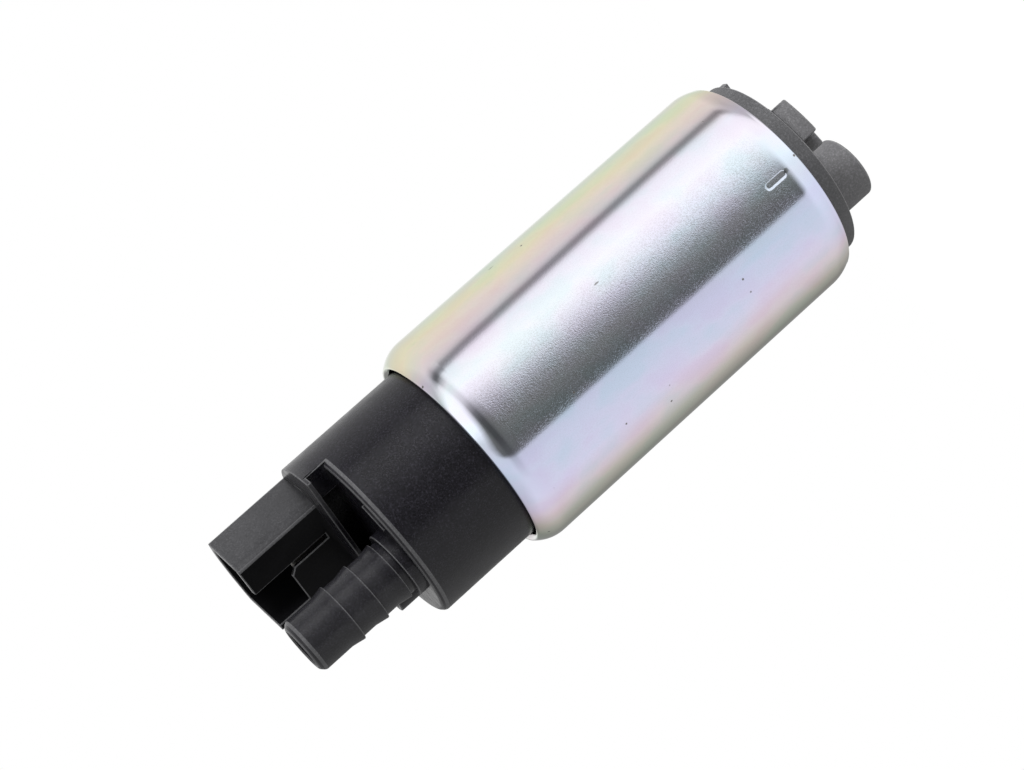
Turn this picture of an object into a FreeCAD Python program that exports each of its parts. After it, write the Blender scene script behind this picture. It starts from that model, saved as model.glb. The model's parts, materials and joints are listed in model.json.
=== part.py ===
import FreeCAD, Part
import math
import os
import Sketcher

# Electric in-tank fuel pump: a rolled steel case, a moulded outlet cover with a hose nipple and a
# plug shroud, a moulded inlet cover with a side channel turbine, and a permanent magnet motor.
# Origin in the middle of the case, +Z along the pump's axis towards the outlet, millimetres.

doc = FreeCAD.newDocument("fuel_pump")
sheet = doc.addObject("Spreadsheet::Sheet", "sizes")


class Size(float):
    """A number that keeps the spreadsheet expression that it comes from."""

    def __new__(cls, value, text):
        number = float.__new__(cls, value)
        number.text = text
        return number

    def __add__(self, other):
        return Size(float(self) + float(other), "(" + self.text + " + " + words(other) + ")")

    def __radd__(self, other):
        return Size(float(other) + float(self), "(" + words(other) + " + " + self.text + ")")

    def __sub__(self, other):
        return Size(float(self) - float(other), "(" + self.text + " - " + words(other) + ")")

    def __rsub__(self, other):
        return Size(float(other) - float(self), "(" + words(other) + " - " + self.text + ")")

    def __mul__(self, other):
        return Size(float(self) * float(other), "(" + self.text + " * " + words(other) + ")")

    def __rmul__(self, other):
        return Size(float(other) * float(self), "(" + words(other) + " * " + self.text + ")")

    def __truediv__(self, other):
        return Size(float(self) / float(other), "(" + self.text + " / " + words(other) + ")")

    def __neg__(self):
        return Size(-float(self), "(0 - " + self.text + ")")


def words(value):
    """The expression text of a size, or of a plain number."""
    if isinstance(value, Size):
        return value.text
    return repr(float(value))


def size(alias, value, note):
    """Write one driving dimension into the sheet and give it back."""
    size.rows += 1
    sheet.set("A%d" % size.rows, note)
    sheet.set("B%d" % size.rows, str(value))
    sheet.setAlias("B%d" % size.rows, alias)
    return Size(value, "sizes." + alias)


size.rows = 0


def root(value):
    return Size(math.sqrt(value), "sqrt(" + words(value) + ")")


def cosine(degrees):
    """The cosine of an angle in degrees."""
    return Size(math.cos(math.radians(degrees)), "cos(" + words(degrees) + " * 1 deg)")


def sine(degrees):
    return Size(math.sin(math.radians(degrees)), "sin(" + words(degrees) + " * 1 deg)")


def angle_of(sine_value):
    return Size(math.degrees(math.asin(sine_value)), "(asin(" + words(sine_value) + ") / 1 deg)")


def bind(thing, place, value):
    """Bind one property of an object to its expression."""
    thing.setExpression(place, words(value))


# Driving dimensions, in millimetres and degrees

# Case
case_radius = size("case_radius", 19.0, "outside radius of the steel case")
case_length = size("case_length", 65.7, "case from lip to lip")
case_wall = size("case_wall", 1.3, "case sheet thickness")
outlet_roll_drop = size("outlet_roll_drop", 1.8, "radius lost at the rolled outlet edge")
outlet_roll_length = size("outlet_roll_length", 4.35, "length of the rolled outlet edge")
inlet_roll_drop = size("inlet_roll_drop", 0.7, "radius lost at the inlet shoulder")
inlet_roll_length = size("inlet_roll_length", 3.0, "length of the inlet shoulder")
inlet_lip_width = size("inlet_lip_width", 0.85, "width of the tight turn at the inlet lip")
inlet_lip_height = size("inlet_lip_height", 0.55, "height of the tight turn at the inlet lip")
stake_length = size("stake_length", 4.3, "length of the stake mark in the case")
stake_width = size("stake_width", 1.6, "width of the stake mark")
stake_depth = size("stake_depth", 0.45, "depth of the stake mark")
stake_from_inlet = size("stake_from_inlet", 5.7, "stake mark's middle above the inlet lip")
stake_side = size("stake_side", 1.1, "stake mark's middle beside the case's middle line")

# Fits
seat_gap = size("seat_gap", 0.1, "clearance of a piece seated in the case")
running_gap = size("running_gap", 0.03, "radial clearance of the shaft in its bushes")
face_gap = size("face_gap", 0.1, "axial clearance beside a turning face")
guide_gap = size("guide_gap", 0.1, "clearance of a sliding piece in its guide")
valve_gap = size("valve_gap", 0.05, "clearance at a closed valve seat")

# Outlet cover
neck_inset = size("neck_inset", 2.9, "neck's side inside the case's")
neck_length = size("neck_length", 17.7, "neck from the case lip to its end face")
neck_edge = size("neck_edge", 0.7, "chamfer of the neck's rim")
neck_wall = size("neck_wall", 1.7, "wall of the neck")
neck_roof = size("neck_roof", 1.7, "thickness of the neck's end wall")
flange_depth = size("flange_depth", 7.85, "cover's flange below the case lip")
connector_angle = size("connector_angle", 50.0, "direction of the plug side about the axis")
block_height = size("block_height", 3.15, "raised block under the plug's base plate")
block_face = size("block_face", 0.4, "block's face beyond the middle line")
window_depth = size("window_depth", 5.5, "depth of the window under the base plate")
window_near = size("window_near", 11.0, "window's near end from the middle line")
window_far = size("window_far", 6.0, "window's far end from the middle line")
plate_thickness = size("plate_thickness", 0.8, "thickness of the base plate")
plate_edge = size("plate_edge", 1.35, "plate's straight edge before the middle line")
plate_far = size("plate_far", 9.0, "base plate's far end from the middle line")
shroud_height = size("shroud_height", 15.15, "plug shroud above the base plate")
shroud_wall = size("shroud_wall", 1.2, "wall of the plug shroud")
shroud_inset = size("shroud_inset", 0.1, "shroud's outer curve inside the neck's side")
shroud_front = size("shroud_front", 4.2, "shroud's front face from the middle line")
shroud_near = size("shroud_near", 8.7, "shroud's near side from the middle line")
shroud_far = size("shroud_far", 6.2, "shroud's far side from the middle line")
shroud_bevel = size("shroud_bevel", 1.8, "bevel on the shroud's front corner")
mouth_edge = size("mouth_edge", 2.5, "edge of the opening in the shroud's front")
tongue_edge = size("tongue_edge", 1.5, "edge of the guide tongue in the opening")
tongue_height = size("tongue_height", 9.0, "height of the guide tongue")
tongue_thickness = size("tongue_thickness", 0.7, "thickness of the guide tongue")
tongue_bevel = size("tongue_bevel", 1.1, "bevelled corner of the guide tongue")
notch_length = size("notch_length", 3.0, "drain notch beside the shroud")
notch_width = size("notch_width", 1.2, "width of the drain notch")
notch_depth = size("notch_depth", 1.2, "depth of the drain notch")
notch_start = size("notch_start", 6.2, "drain notch's start from the middle line")

# Hose nipple and check valve
nipple_offset = size("nipple_offset", 9.1, "nipple's axis from the pump's axis")
nipple_tip = size("nipple_tip", 19.95, "nipple tip above the neck's end face")
nipple_radius = size("nipple_radius", 4.62, "outside radius of the nipple's tube")
barb_radius = size("barb_radius", 5.05, "outside radius of a barb")
barb_length = size("barb_length", 2.25, "length of a barb's cone")
barb_pitch = size("barb_pitch", 4.6, "spacing of the barbs")
barb_count = size("barb_count", 3, "barbs on the nipple")
first_barb = size("first_barb", 8.1, "nearest barb's edge below the tip")
tip_round = size("tip_round", 0.8, "rounding of the nipple's tip")
foot_radius = size("foot_radius", 5.65, "radius of the nipple's foot")
foot_height = size("foot_height", 1.65, "height of the ring at the nipple's foot")
nipple_bore = size("nipple_bore", 3.2, "bore radius of the nipple")
throat_radius = size("throat_radius", 2.0, "radius of the valve's throat")
seat_height = size("seat_height", 6.25, "valve seat above the neck's end face")
plunger_radius = size("plunger_radius", 2.7, "radius of the check valve's head")
plunger_rim = size("plunger_rim", 1.8, "height of the check valve's head")
stem_radius = size("stem_radius", 0.9, "radius of the plunger's stem")
stem_length = size("stem_length", 5.4, "length of the plunger's stem")
valve_spring_length = size("valve_spring_length", 3.6, "installed length of the check spring")
valve_wire = size("valve_wire", 0.4, "wire of the check spring")
valve_coil = size("valve_coil", 1.6, "mean radius of the check spring")
cage_height = size("cage_height", 1.4, "height of the spring cage")
cage_arms = size("cage_arms", 3, "arms of the spring cage")
cage_arm = size("cage_arm", 1.2, "width of an arm of the spring cage")

# Relief valve
relief_ahead = size("relief_ahead", 4.5, "relief valve before the middle line")
relief_aside = size("relief_aside", 8.2, "relief valve on the far side")
relief_boss = size("relief_boss", 2.6, "outside radius of the relief boss")
relief_top = size("relief_top", 4.25, "relief boss above the neck's end face")
relief_bottom = size("relief_bottom", 9.05, "relief boss below the neck's end face")
relief_bore = size("relief_bore", 1.8, "bore radius of the relief boss")
relief_hole = size("relief_hole", 0.9, "radius of the relief valve's orifice")
relief_floor = size("relief_floor", 1.5, "floor under the relief valve's poppet")
poppet_radius = size("poppet_radius", 1.5, "radius of the relief valve's poppet")
poppet_height = size("poppet_height", 1.9, "height of the relief valve's poppet")
relief_spring_length = size("relief_spring_length", 6.2, "installed length of the relief spring")
relief_wire = size("relief_wire", 0.32, "wire of the relief spring")
relief_coil = size("relief_coil", 1.2, "mean radius of the relief spring")
plug_vent = size("plug_vent", 0.6, "half the width of the relief plug's square vent")
plug_recess = size("plug_recess", 0.4, "relief plug below the boss's rim")

# Raised mark of the mould's gate on the neck's end face
gate_radius = size("gate_radius", 14.3, "gate mark's outer edge from the pump's axis")
gate_angle = size("gate_angle", 46.0, "direction of the gate mark, from the nipple's towards the front")
gate_length = size("gate_length", 4.8, "length of the gate mark")
gate_width = size("gate_width", 1.2, "width of the gate mark")
gate_height = size("gate_height", 0.35, "height of the gate mark")

# Terminals and chokes
terminal_width = size("terminal_width", 2.8, "width of a terminal blade")
terminal_thickness = size("terminal_thickness", 0.8, "thickness of a terminal blade")
terminal_inset = size("terminal_inset", 6.7, "blades inside the neck's side")
terminal_pitch = size("terminal_pitch", 6.2, "spacing of the blades")
terminal_reach = size("terminal_reach", 7.6, "blade above the base plate")
terminal_tip = size("terminal_tip", 1.0, "length of the blade's tapered tip")
choke_length = size("choke_length", 12.0, "length of a choke")
choke_radius = size("choke_radius", 2.8, "radius of a choke")

# Brush holder, brushes and bushes
holder_plate = size("holder_plate", 2.6, "thickness of the brush holder's plate")
holder_corners = size("holder_corners", 36, "flats round the holder's plate")
holder_height = size("holder_height", 10.4, "brush boxes above the holder's plate")
window_half_angle = size("window_half_angle", 40.0, "half of the angle of the fuel window")
box_wall = size("box_wall", 1.1, "wall of a brush box")
brush_width = size("brush_width", 5.0, "brush across")
brush_depth = size("brush_depth", 6.0, "brush along the radius")
brush_length = size("brush_length", 7.5, "length of a brush")
brush_offset = size("brush_offset", 7.6, "brush from the pump's axis")
brush_wire = size("brush_wire", 0.5, "wire of a brush spring")
brush_coil = size("brush_coil", 1.85, "mean radius of a brush spring")
lead_radius = size("lead_radius", 0.35, "radius of a brush's flexible lead")
hub_rise = size("hub_rise", 2.5, "bush hub above the pump body's plate")
shaft_radius = size("shaft_radius", 2.0, "radius of the rotor shaft")
bush_radius = size("bush_radius", 4.0, "outside radius of a bush")
hub_radius = size("hub_radius", 6.2, "radius to the corners of a bush hub")
clear_radius = size("clear_radius", 3.8, "clear space round the shaft inside the end turns")
bush_length = size("bush_length", 6.0, "length of the upper bush")

# Motor
commutator_inset = size("commutator_inset", 1.0, "commutator's rim inside the core's")
commutator_height = size("commutator_height", 2.9, "thickness of the commutator")
commutator_slot = size("commutator_slot", 0.6, "slot between two segments")
riser_gap = size("riser_gap", 4.4, "clearance between the end turns and the commutator")
pole_count = size("pole_count", 8, "poles of the armature")
core_yoke = size("core_yoke", 4.6, "radius of the core inside the slots")
pole_lip = size("pole_lip", 1.3, "thickness of a pole's shoe")
slot_mouth = size("slot_mouth", 1.6, "mouth of a winding slot")
slot_width = size("slot_width", 2.0, "inner width of a winding slot")
slot_spread = size("slot_spread", 5.8, "outer width of a winding slot")
winding_gap = size("winding_gap", 0.15, "winding inside its slot")
winding_turn = size("winding_turn", 4.0, "height of the end turns")
magnet_thickness = size("magnet_thickness", 5.0, "thickness of a magnet")
magnet_gap = size("magnet_gap", 0.6, "air gap round the armature")
magnet_clearance = size("magnet_clearance", 7.2, "clearance between the magnets and the brush holder")
magnet_half_angle = size("magnet_half_angle", 68.0, "half of the angle that a magnet covers")
clip_thickness = size("clip_thickness", 0.8, "sheet of the magnet clip")
clip_half_angle = size("clip_half_angle", 19.0, "half of the angle that the clip covers")

# Turbine stage and inlet cover
body_plate = size("body_plate", 4.55, "plate of the pump body over the impeller")
body_wall = size("body_wall", 2.45, "wall of the pump body round the impeller")
impeller_thickness = size("impeller_thickness", 3.45, "thickness of the impeller")
impeller_wall_gap = size("impeller_wall_gap", 0.15, "radial clearance round the impeller")
vane_count = size("vane_count", 24, "windows between the impeller's vanes")
vane_height = size("vane_height", 2.1, "height of a vane window")
impeller_rim = size("impeller_rim", 0.9, "rim of the impeller outside the windows")
vane_window = size("vane_window", 2.1, "width of a vane window")
channel_depth = size("channel_depth", 1.4, "depth of the side channels")
channel_angle = size("channel_angle", 300.0, "angle that the side channels cover")
flat_depth = size("flat_depth", 0.5, "depth of the driving flat on the shaft")
flange_thickness = size("flange_thickness", 4.0, "inlet cover's flange inside the case")
disc_inset = size("disc_inset", 2.6, "inlet cover's disc inside the case's side")
disc_stand = size("disc_stand", 2.85, "disc proud of the case lip")
port_offset = size("port_offset", 6.8, "inlet port from the pump's axis")
port_radius = size("port_radius", 5.45, "outside radius of the inlet port")
port_length = size("port_length", 8.8, "inlet port proud of the disc")
port_edge = size("port_edge", 0.35, "chamfer of the port's mouth")
port_bore = size("port_bore", 4.0, "bore radius of the inlet port")
bore_depth = size("bore_depth", 13.5, "depth of the inlet bore")
lug_height = size("lug_height", 2.9, "locating lug proud of the disc")
lug_width = size("lug_width", 4.2, "width of the locating lug along the radius")
lug_start = size("lug_start", -87.5, "start angle of the locating lug")
lug_end = size("lug_end", -62.5, "end angle of the locating lug")
web_height = size("web_height", 3.7, "web between lug and port, proud of the disc")
web_width = size("web_width", 2.6, "width of the web")
web_side = size("web_side", -0.2, "web's middle from the pump's axis")
web_reach = size("web_reach", 12.6, "web's outer end from the pump's axis")
key_height = size("key_height", 1.2, "key on the disc's rim")
key_width = size("key_width", 1.6, "width of the key")
key_length = size("key_length", 1.4, "length of the key along the radius")
key_inset = size("key_inset", 0.3, "key inside the disc's rim")
key_angle = size("key_angle", -15.0, "direction of the key, from away of the port")
bleed_radius = size("bleed_radius", 0.6, "radius of the vapour bleed hole")

# Radii that follow the case
case_bore = case_radius - case_wall
seated_radius = case_bore - seat_gap
neck_radius = case_radius - neck_inset
cavity_radius = neck_radius - neck_wall
shroud_radius = neck_radius - shroud_inset
terminal_front = neck_radius - terminal_inset
disc_radius = case_radius - disc_inset
magnet_inside = seated_radius - magnet_thickness
core_radius = magnet_inside - magnet_gap
commutator_radius = core_radius - commutator_inset
chamber_radius = seated_radius - body_wall
impeller_radius = chamber_radius - impeller_wall_gap
vane_outer = impeller_radius - impeller_rim
vane_inner = vane_outer - vane_height
channel_radius = (vane_inner + vane_outer) / 2
channel_half = (vane_outer - vane_inner) / 2

# Levels along the axis
outlet_lip = case_length / 2
inlet_lip = -case_length / 2
roll_start = outlet_lip - outlet_roll_length
flange_bottom = outlet_lip - flange_depth
neck_top = outlet_lip + neck_length
neck_ceiling = neck_top - neck_roof
block_top = neck_top + block_height
plate_top = block_top + plate_thickness
holder_bottom = flange_bottom - holder_plate
box_top = flange_bottom + holder_height
commutator_top = holder_bottom - 9 * face_gap
commutator_bottom = commutator_top - commutator_height
disc_face = inlet_lip - disc_stand
flange_step = inlet_lip + case_wall + seat_gap / 2
cover_face = flange_step + flange_thickness
body_face = cover_face + impeller_thickness + 2 * face_gap
body_top = body_face + body_plate
hub_top = body_top + hub_rise
core_bottom = hub_top + 10 * face_gap + winding_turn
core_length = commutator_bottom - riser_gap - winding_turn - core_bottom
magnet_length = holder_bottom - magnet_clearance - body_top
nipple_x = -nipple_offset * cosine(connector_angle)
nipple_y = -nipple_offset * sine(connector_angle)
relief_x = -relief_ahead * cosine(connector_angle) - relief_aside * sine(connector_angle)
relief_y = -relief_ahead * sine(connector_angle) + relief_aside * cosine(connector_angle)
socket_middle = (shroud_near - shroud_far) / 2


# Rolled outlet edge of the case
outlet_curve = (outlet_roll_drop * outlet_roll_drop + outlet_roll_length * outlet_roll_length) \
    / (2 * outlet_roll_drop)
inner_share = (outlet_curve - case_wall) / outlet_curve
roll_lip_x = case_radius - outlet_curve + (outlet_curve - outlet_roll_drop) * inner_share
roll_lip_z = roll_start + outlet_roll_length * inner_share


# Helpers for bodies, sketches and features

def new_body(label):
    body = doc.addObject("PartDesign::Body", label + "_body")
    body.Label = label
    return body


def new_sketch(body, role, name, z=0.0, x=0.0, y=0.0, turn=0.0, about=(0, 0, 1)):
    """A sketch on one of the body's own planes, shifted and turned in that plane's frame."""
    sketch = body.newObject("Sketcher::SketchObject", name)
    plane = [item for item in body.Origin.OriginFeatures if item.Role == role][0]
    sketch.AttachmentSupport = [(plane, "")]
    sketch.MapMode = "FlatFace"
    spin = FreeCAD.Rotation(FreeCAD.Vector(*about), float(turn))
    sketch.AttachmentOffset = FreeCAD.Placement(FreeCAD.Vector(float(x), float(y), float(z)), spin)
    for place, value in (("Base.x", x), ("Base.y", y), ("Base.z", z), ("Rotation.Angle", turn)):
        if isinstance(value, Size):
            bind(sketch, "AttachmentOffset." + place, value)
    return sketch


def fix(sketch, kind, *parts):
    """Add one constraint, the last part being its size, and bind it."""
    value = parts[-1]
    index = sketch.addConstraint(Sketcher.Constraint(kind, *parts[:-1], float(value)))
    if isinstance(value, Size):
        bind(sketch, "Constraints[%d]" % index, value)


def arc_between(start, end, radius):
    """The short arc from start to end, counter-clockwise where the radius is positive."""
    ax, ay = float(start[0]), float(start[1])
    bx, by = float(end[0]), float(end[1])
    span = math.hypot(bx - ax, by - ay)
    rise = math.sqrt(max(float(radius) ** 2 - span * span / 4, 0.0))
    side = 1 if radius > 0 else -1
    centre_x = (ax + bx) / 2 - side * rise * (by - ay) / span
    centre_y = (ay + by) / 2 + side * rise * (bx - ax) / span
    first = math.atan2(ay - centre_y, ax - centre_x)
    last = math.atan2(by - centre_y, bx - centre_x)
    if side < 0:
        first, last = last, first
    circle = Part.Circle(FreeCAD.Vector(centre_x, centre_y, 0), FreeCAD.Vector(0, 0, 1), abs(float(radius)))
    return Part.ArcOfCircle(circle, first, last)


def outline(sketch, steps):
    """A closed outline. A step is x, y and, where an arc arrives there, its signed radius."""
    count = len(steps)
    ends = []
    for index in range(count):
        start = steps[index]
        end = steps[(index + 1) % count]
        if len(end) == 2:
            line = Part.LineSegment(
                FreeCAD.Vector(float(start[0]), float(start[1]), 0),
                FreeCAD.Vector(float(end[0]), float(end[1]), 0),
            )
            edge = sketch.addGeometry(line, False)
            ends.append((edge, 1, 2))
        else:
            edge = sketch.addGeometry(arc_between(start, end, end[2]), False)
            ends.append((edge, 1, 2) if end[2] > 0 else (edge, 2, 1))
            fix(sketch, "Radius", edge, end[2] if end[2] > 0 else -end[2])
    for index in range(count):
        edge, start, end = ends[index]
        following = ends[(index + 1) % count]
        sketch.addConstraint(Sketcher.Constraint("Coincident", edge, end, following[0], following[1]))
        fix(sketch, "DistanceX", edge, start, steps[index][0])
        fix(sketch, "DistanceY", edge, start, steps[index][1])


def bend(centre_x, centre_y, radius, sweep, count):
    """Points of an arc that starts level with its centre, without its start."""
    points = []
    for index in range(1, count + 1):
        angle = sweep * index / count
        points.append((centre_x + radius * cosine(angle), centre_y + radius * sine(angle)))
    return points


def round_hole(sketch, x, y, radius):
    circle = Part.Circle(FreeCAD.Vector(float(x), float(y), 0), FreeCAD.Vector(0, 0, 1), float(radius))
    edge = sketch.addGeometry(circle, False)
    fix(sketch, "Radius", edge, radius)
    fix(sketch, "DistanceX", edge, 3, x)
    fix(sketch, "DistanceY", edge, 3, y)


def rectangle(sketch, left, low, right, high):
    outline(sketch, [(left, low), (right, low), (right, high), (left, high)])


def polygon(sketch, radius, corners, x=0.0, y=0.0):
    """An even outline with flat sides and its corners on a circle."""
    outline(sketch, [(x + radius * cosine(360 * index / corners), y + radius * sine(360 * index / corners))
                     for index in range(corners)])


def sector(sketch, inner, outer, reach):
    """Part of a ring, to the same angle on both sides of the sketch's x axis."""
    outline(sketch, [
        (inner * cosine(reach), -inner * sine(reach), -inner),
        (outer * cosine(reach), -outer * sine(reach)),
        (outer, 0.0, outer),
        (outer * cosine(reach), outer * sine(reach), outer),
        (inner * cosine(reach), inner * sine(reach)),
        (inner, 0.0, -inner),
    ])


def feature(body, kind, sketch, name):
    made = body.newObject("PartDesign::" + kind, name)
    made.Profile = sketch
    sketch.Visibility = False
    return made


def pad(body, sketch, length, name, down=False):
    made = feature(body, "Pad", sketch, name)
    bind(made, "Length", length)
    made.Reversed = down
    return made


def pocket(body, sketch, length, name, up=False):
    made = feature(body, "Pocket", sketch, name)
    bind(made, "Length", length)
    made.Reversed = up
    return made


def revolve(body, sketch, name):
    made = feature(body, "Revolution", sketch, name)
    made.ReferenceAxis = (sketch, ["V_Axis"])
    made.Angle = 360
    return made


def groove(body, sketch, name, angle=360.0):
    made = feature(body, "Groove", sketch, name)
    made.ReferenceAxis = (sketch, ["V_Axis"])
    made.Angle = float(angle)
    if isinstance(angle, Size):
        bind(made, "Angle", angle)
    return made


def around(body, original, sketch, count, name):
    """Copies of a feature at equal angles round the pump's axis."""
    pattern = body.newObject("PartDesign::PolarPattern", name)
    pattern.Originals = [original]
    pattern.Axis = (sketch, ["N_Axis"])
    pattern.Angle = 360
    pattern.Occurrences = int(count)
    bind(pattern, "Occurrences", count)
    body.Tip = pattern
    return pattern


def turned(label, profile, x=0.0, y=0.0):
    """A piece turned about its own axis from a profile of radius and height."""
    body = new_body(label)
    sketch = new_sketch(body, "XZ_Plane", label + "_profile", x=x, z=-y)
    outline(sketch, profile)
    revolve(body, sketch, label + "_turned")
    return body


def facet(*corners):
    return Part.Face(Part.makePolygon(list(corners) + [corners[0]]))


def spring(label, x, y, low, length, coil, wire, turns, steps=8):
    """A coil spring of square wire, laid in straight steps from one seat to the other."""
    inner = float(coil - wire / 2)
    outer = float(coil + wire / 2)
    count = turns * steps
    rise = float(length - wire) / count
    rings = []
    for index in range(count + 1):
        angle = 2 * math.pi * index / steps
        out = FreeCAD.Vector(math.cos(angle), math.sin(angle), 0)
        base = FreeCAD.Vector(0, 0, rise * index)
        top = FreeCAD.Vector(0, 0, rise * index + float(wire))
        rings.append([out * inner + base, out * outer + base, out * outer + top, out * inner + top])
    faces = [facet(*rings[0]), facet(*rings[-1])]
    for here, there in zip(rings, rings[1:]):
        for corner in range(4):
            beside = (corner + 1) % 4
            faces.append(facet(here[corner], here[beside], there[beside]))
            faces.append(facet(here[corner], there[beside], there[corner]))
    made = doc.addObject("Part::Feature", label + "_coils")
    made.Label = label
    made.Shape = Part.Solid(Part.Shell(faces))
    made.Placement = FreeCAD.Placement(FreeCAD.Vector(float(x), float(y), float(low)), FreeCAD.Rotation())
    for axis, value in (("x", x), ("y", y), ("z", low)):
        bind(made, "Placement.Base." + axis, value)
    return made


# Case and covers

def pump_case():
    """Steel tube with both ends rolled in over the covers, and one stake mark."""
    body = new_body("pump_case")
    sketch = new_sketch(body, "XZ_Plane", "case_profile")
    inlet_curve = (inlet_roll_drop * inlet_roll_drop + inlet_roll_length * inlet_roll_length) \
        / (2 * inlet_roll_drop)
    outlet_roll = bend(case_radius - outlet_curve, roll_start, outlet_curve,
                       angle_of(outlet_roll_length / outlet_curve), 2)
    inlet_roll = bend(case_radius - inlet_curve, inlet_lip + inlet_lip_height + inlet_roll_length,
                      inlet_curve, -angle_of(inlet_roll_length / inlet_curve), 2)
    shoulder = case_radius - inlet_roll_drop
    inner_lip = inlet_lip + case_wall
    lip_bore = disc_radius + 2 * seat_gap
    outline(sketch, [
        (lip_bore, inlet_lip),
        (shoulder - inlet_lip_width, inlet_lip),
        inlet_roll[1],
        inlet_roll[0],
        (case_radius, inlet_lip + inlet_lip_height + inlet_roll_length),
        (case_radius, roll_start),
        outlet_roll[0],
        outlet_roll[1],
        (roll_lip_x, roll_lip_z),
        (case_bore, roll_start),
        (case_bore, inner_lip),
        (lip_bore, inner_lip),
    ])
    revolve(body, sketch, "case_rolled")
    mark = new_sketch(body, "XZ_Plane", "stake_profile", z=case_radius - stake_depth, x=-stake_side)
    middle = inlet_lip + stake_from_inlet
    straight = (stake_length - stake_width) / 2
    outline(mark, [
        (-stake_width / 2, middle - straight),
        (stake_width / 2, middle - straight, stake_width / 2 * 1.001),
        (stake_width / 2, middle + straight),
        (-stake_width / 2, middle + straight, stake_width / 2 * 1.001),
    ])
    pocket(body, mark, stake_depth * 2, "stake_mark", up=True)
    return body


def outlet_cover():
    """Moulded cover: flange and neck, plug shroud on a base plate, barbed nipple, relief boss."""
    body = new_body("outlet_cover")
    angle = connector_angle
    sketch = new_sketch(body, "XZ_Plane", "neck_profile")
    outline(sketch, [
        (0.0, flange_bottom),
        (seated_radius, flange_bottom),
        (seated_radius, roll_start),
        (neck_radius, roll_start),
        (neck_radius, neck_top - neck_edge),
        (neck_radius - neck_edge, neck_top),
        (0.0, neck_top),
    ])
    revolve(body, sketch, "neck")
    cavity = new_sketch(body, "XY_Plane", "cavity_outline", z=flange_bottom, turn=angle)
    polygon(cavity, cavity_radius, 12)
    pocket(body, cavity, neck_ceiling - flange_bottom, "cavity", up=True)

    block = new_sketch(body, "XY_Plane", "block_outline", z=neck_top - neck_edge, turn=angle)
    block_half = root(neck_radius * neck_radius - block_face * block_face)
    outline(block, [
        (block_face, -block_half),
        (neck_radius, 0.0, neck_radius),
        (block_face, block_half, neck_radius),
        (block_face, window_far),
        (block_face + window_depth, window_far),
        (block_face + window_depth, -window_near),
        (block_face, -window_near),
    ])
    pad(body, block, block_height + neck_edge, "block")
    plate = new_sketch(body, "XY_Plane", "plate_outline", z=block_top, turn=angle)
    outline(plate, [
        (-plate_edge, -root(neck_radius * neck_radius - plate_edge * plate_edge)),
        (neck_radius, 0.0, neck_radius),
        (root(neck_radius * neck_radius - plate_far * plate_far), plate_far, neck_radius),
        (-plate_edge, plate_far),
    ])
    pad(body, plate, plate_thickness, "base_plate")

    shroud = new_sketch(body, "XY_Plane", "shroud_outline", z=plate_top, turn=angle)
    near_back = root(shroud_radius * shroud_radius - shroud_near * shroud_near)
    far_back = root(shroud_radius * shroud_radius - shroud_far * shroud_far)
    outline(shroud, [
        (shroud_front, -(shroud_near - shroud_bevel / 2)),
        (shroud_front + shroud_bevel, -shroud_near),
        (near_back, -shroud_near),
        (far_back, shroud_far, shroud_radius),
        (shroud_front, shroud_far),
    ])
    pad(body, shroud, shroud_height, "shroud")
    socket = new_sketch(body, "XY_Plane", "socket_outline", z=plate_top + shroud_height, turn=angle)
    inner = shroud_radius - shroud_wall
    near_wall = shroud_near - shroud_wall
    far_wall = shroud_far - shroud_wall
    front_wall = shroud_front + shroud_wall
    outline(socket, [
        (front_wall, -near_wall),
        (root(inner * inner - near_wall * near_wall), -near_wall),
        (root(inner * inner - far_wall * far_wall), far_wall, inner),
        (front_wall, far_wall),
    ])
    pocket(body, socket, shroud_height - shroud_wall, "socket")
    mouth = new_sketch(body, "XY_Plane", "mouth_outline", z=plate_top + shroud_height, turn=angle)
    rectangle(mouth, shroud_front - shroud_wall, -mouth_edge, front_wall + shroud_wall, far_wall)
    pocket(body, mouth, shroud_height - shroud_wall, "front_mouth")
    tongue_side = new_sketch(body, "YZ_Plane", "tongue_outline", z=shroud_front * cosine(angle),
                             x=shroud_front * sine(angle), turn=angle, about=(0, 1, 0))
    tongue_top = plate_top + tongue_height
    outline(tongue_side, [
        (-tongue_edge, plate_top),
        (far_wall, plate_top),
        (far_wall, tongue_top),
        (tongue_bevel - tongue_edge, tongue_top),
        (-tongue_edge, tongue_top - tongue_bevel),
    ])
    pad(body, tongue_side, tongue_thickness, "guide_tongue")
    drain = new_sketch(body, "XY_Plane", "drain_outline", z=plate_top, turn=angle)
    rectangle(drain, notch_start, -(shroud_near + notch_width + plate_thickness),
              notch_start + notch_length, -(shroud_near + plate_thickness))
    pocket(body, drain, notch_depth, "drain_notch")

    gate = new_sketch(body, "XY_Plane", "gate_outline", z=neck_top, turn=angle + 180 + gate_angle)
    rectangle(gate, gate_radius - gate_width, -gate_length / 2, gate_radius, gate_length / 2)
    pad(body, gate, gate_height, "gate_mark")

    tip = neck_top + nipple_tip
    foot = neck_top + foot_height
    nipple = new_sketch(body, "XZ_Plane", "nipple_profile", x=nipple_x, z=-nipple_y)
    profile = [
        (0.0, neck_top - seat_gap),
        (foot_radius, neck_top - seat_gap),
        (foot_radius, foot),
        (nipple_radius, foot),
    ]
    for index in reversed(range(int(barb_count))):
        edge = tip - first_barb - barb_pitch * index
        profile += [(nipple_radius, edge), (barb_radius, edge), (nipple_radius, edge + barb_length)]
    profile += [(nipple_radius, tip - tip_round), (nipple_radius - tip_round, tip), (0.0, tip)]
    outline(nipple, profile)
    revolve(body, nipple, "nipple")
    relief = new_sketch(body, "XZ_Plane", "relief_profile", x=relief_x, z=-relief_y)
    rectangle(relief, 0.0, neck_top - relief_bottom, relief_boss, neck_top + relief_top)
    revolve(body, relief, "relief_boss")

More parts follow.
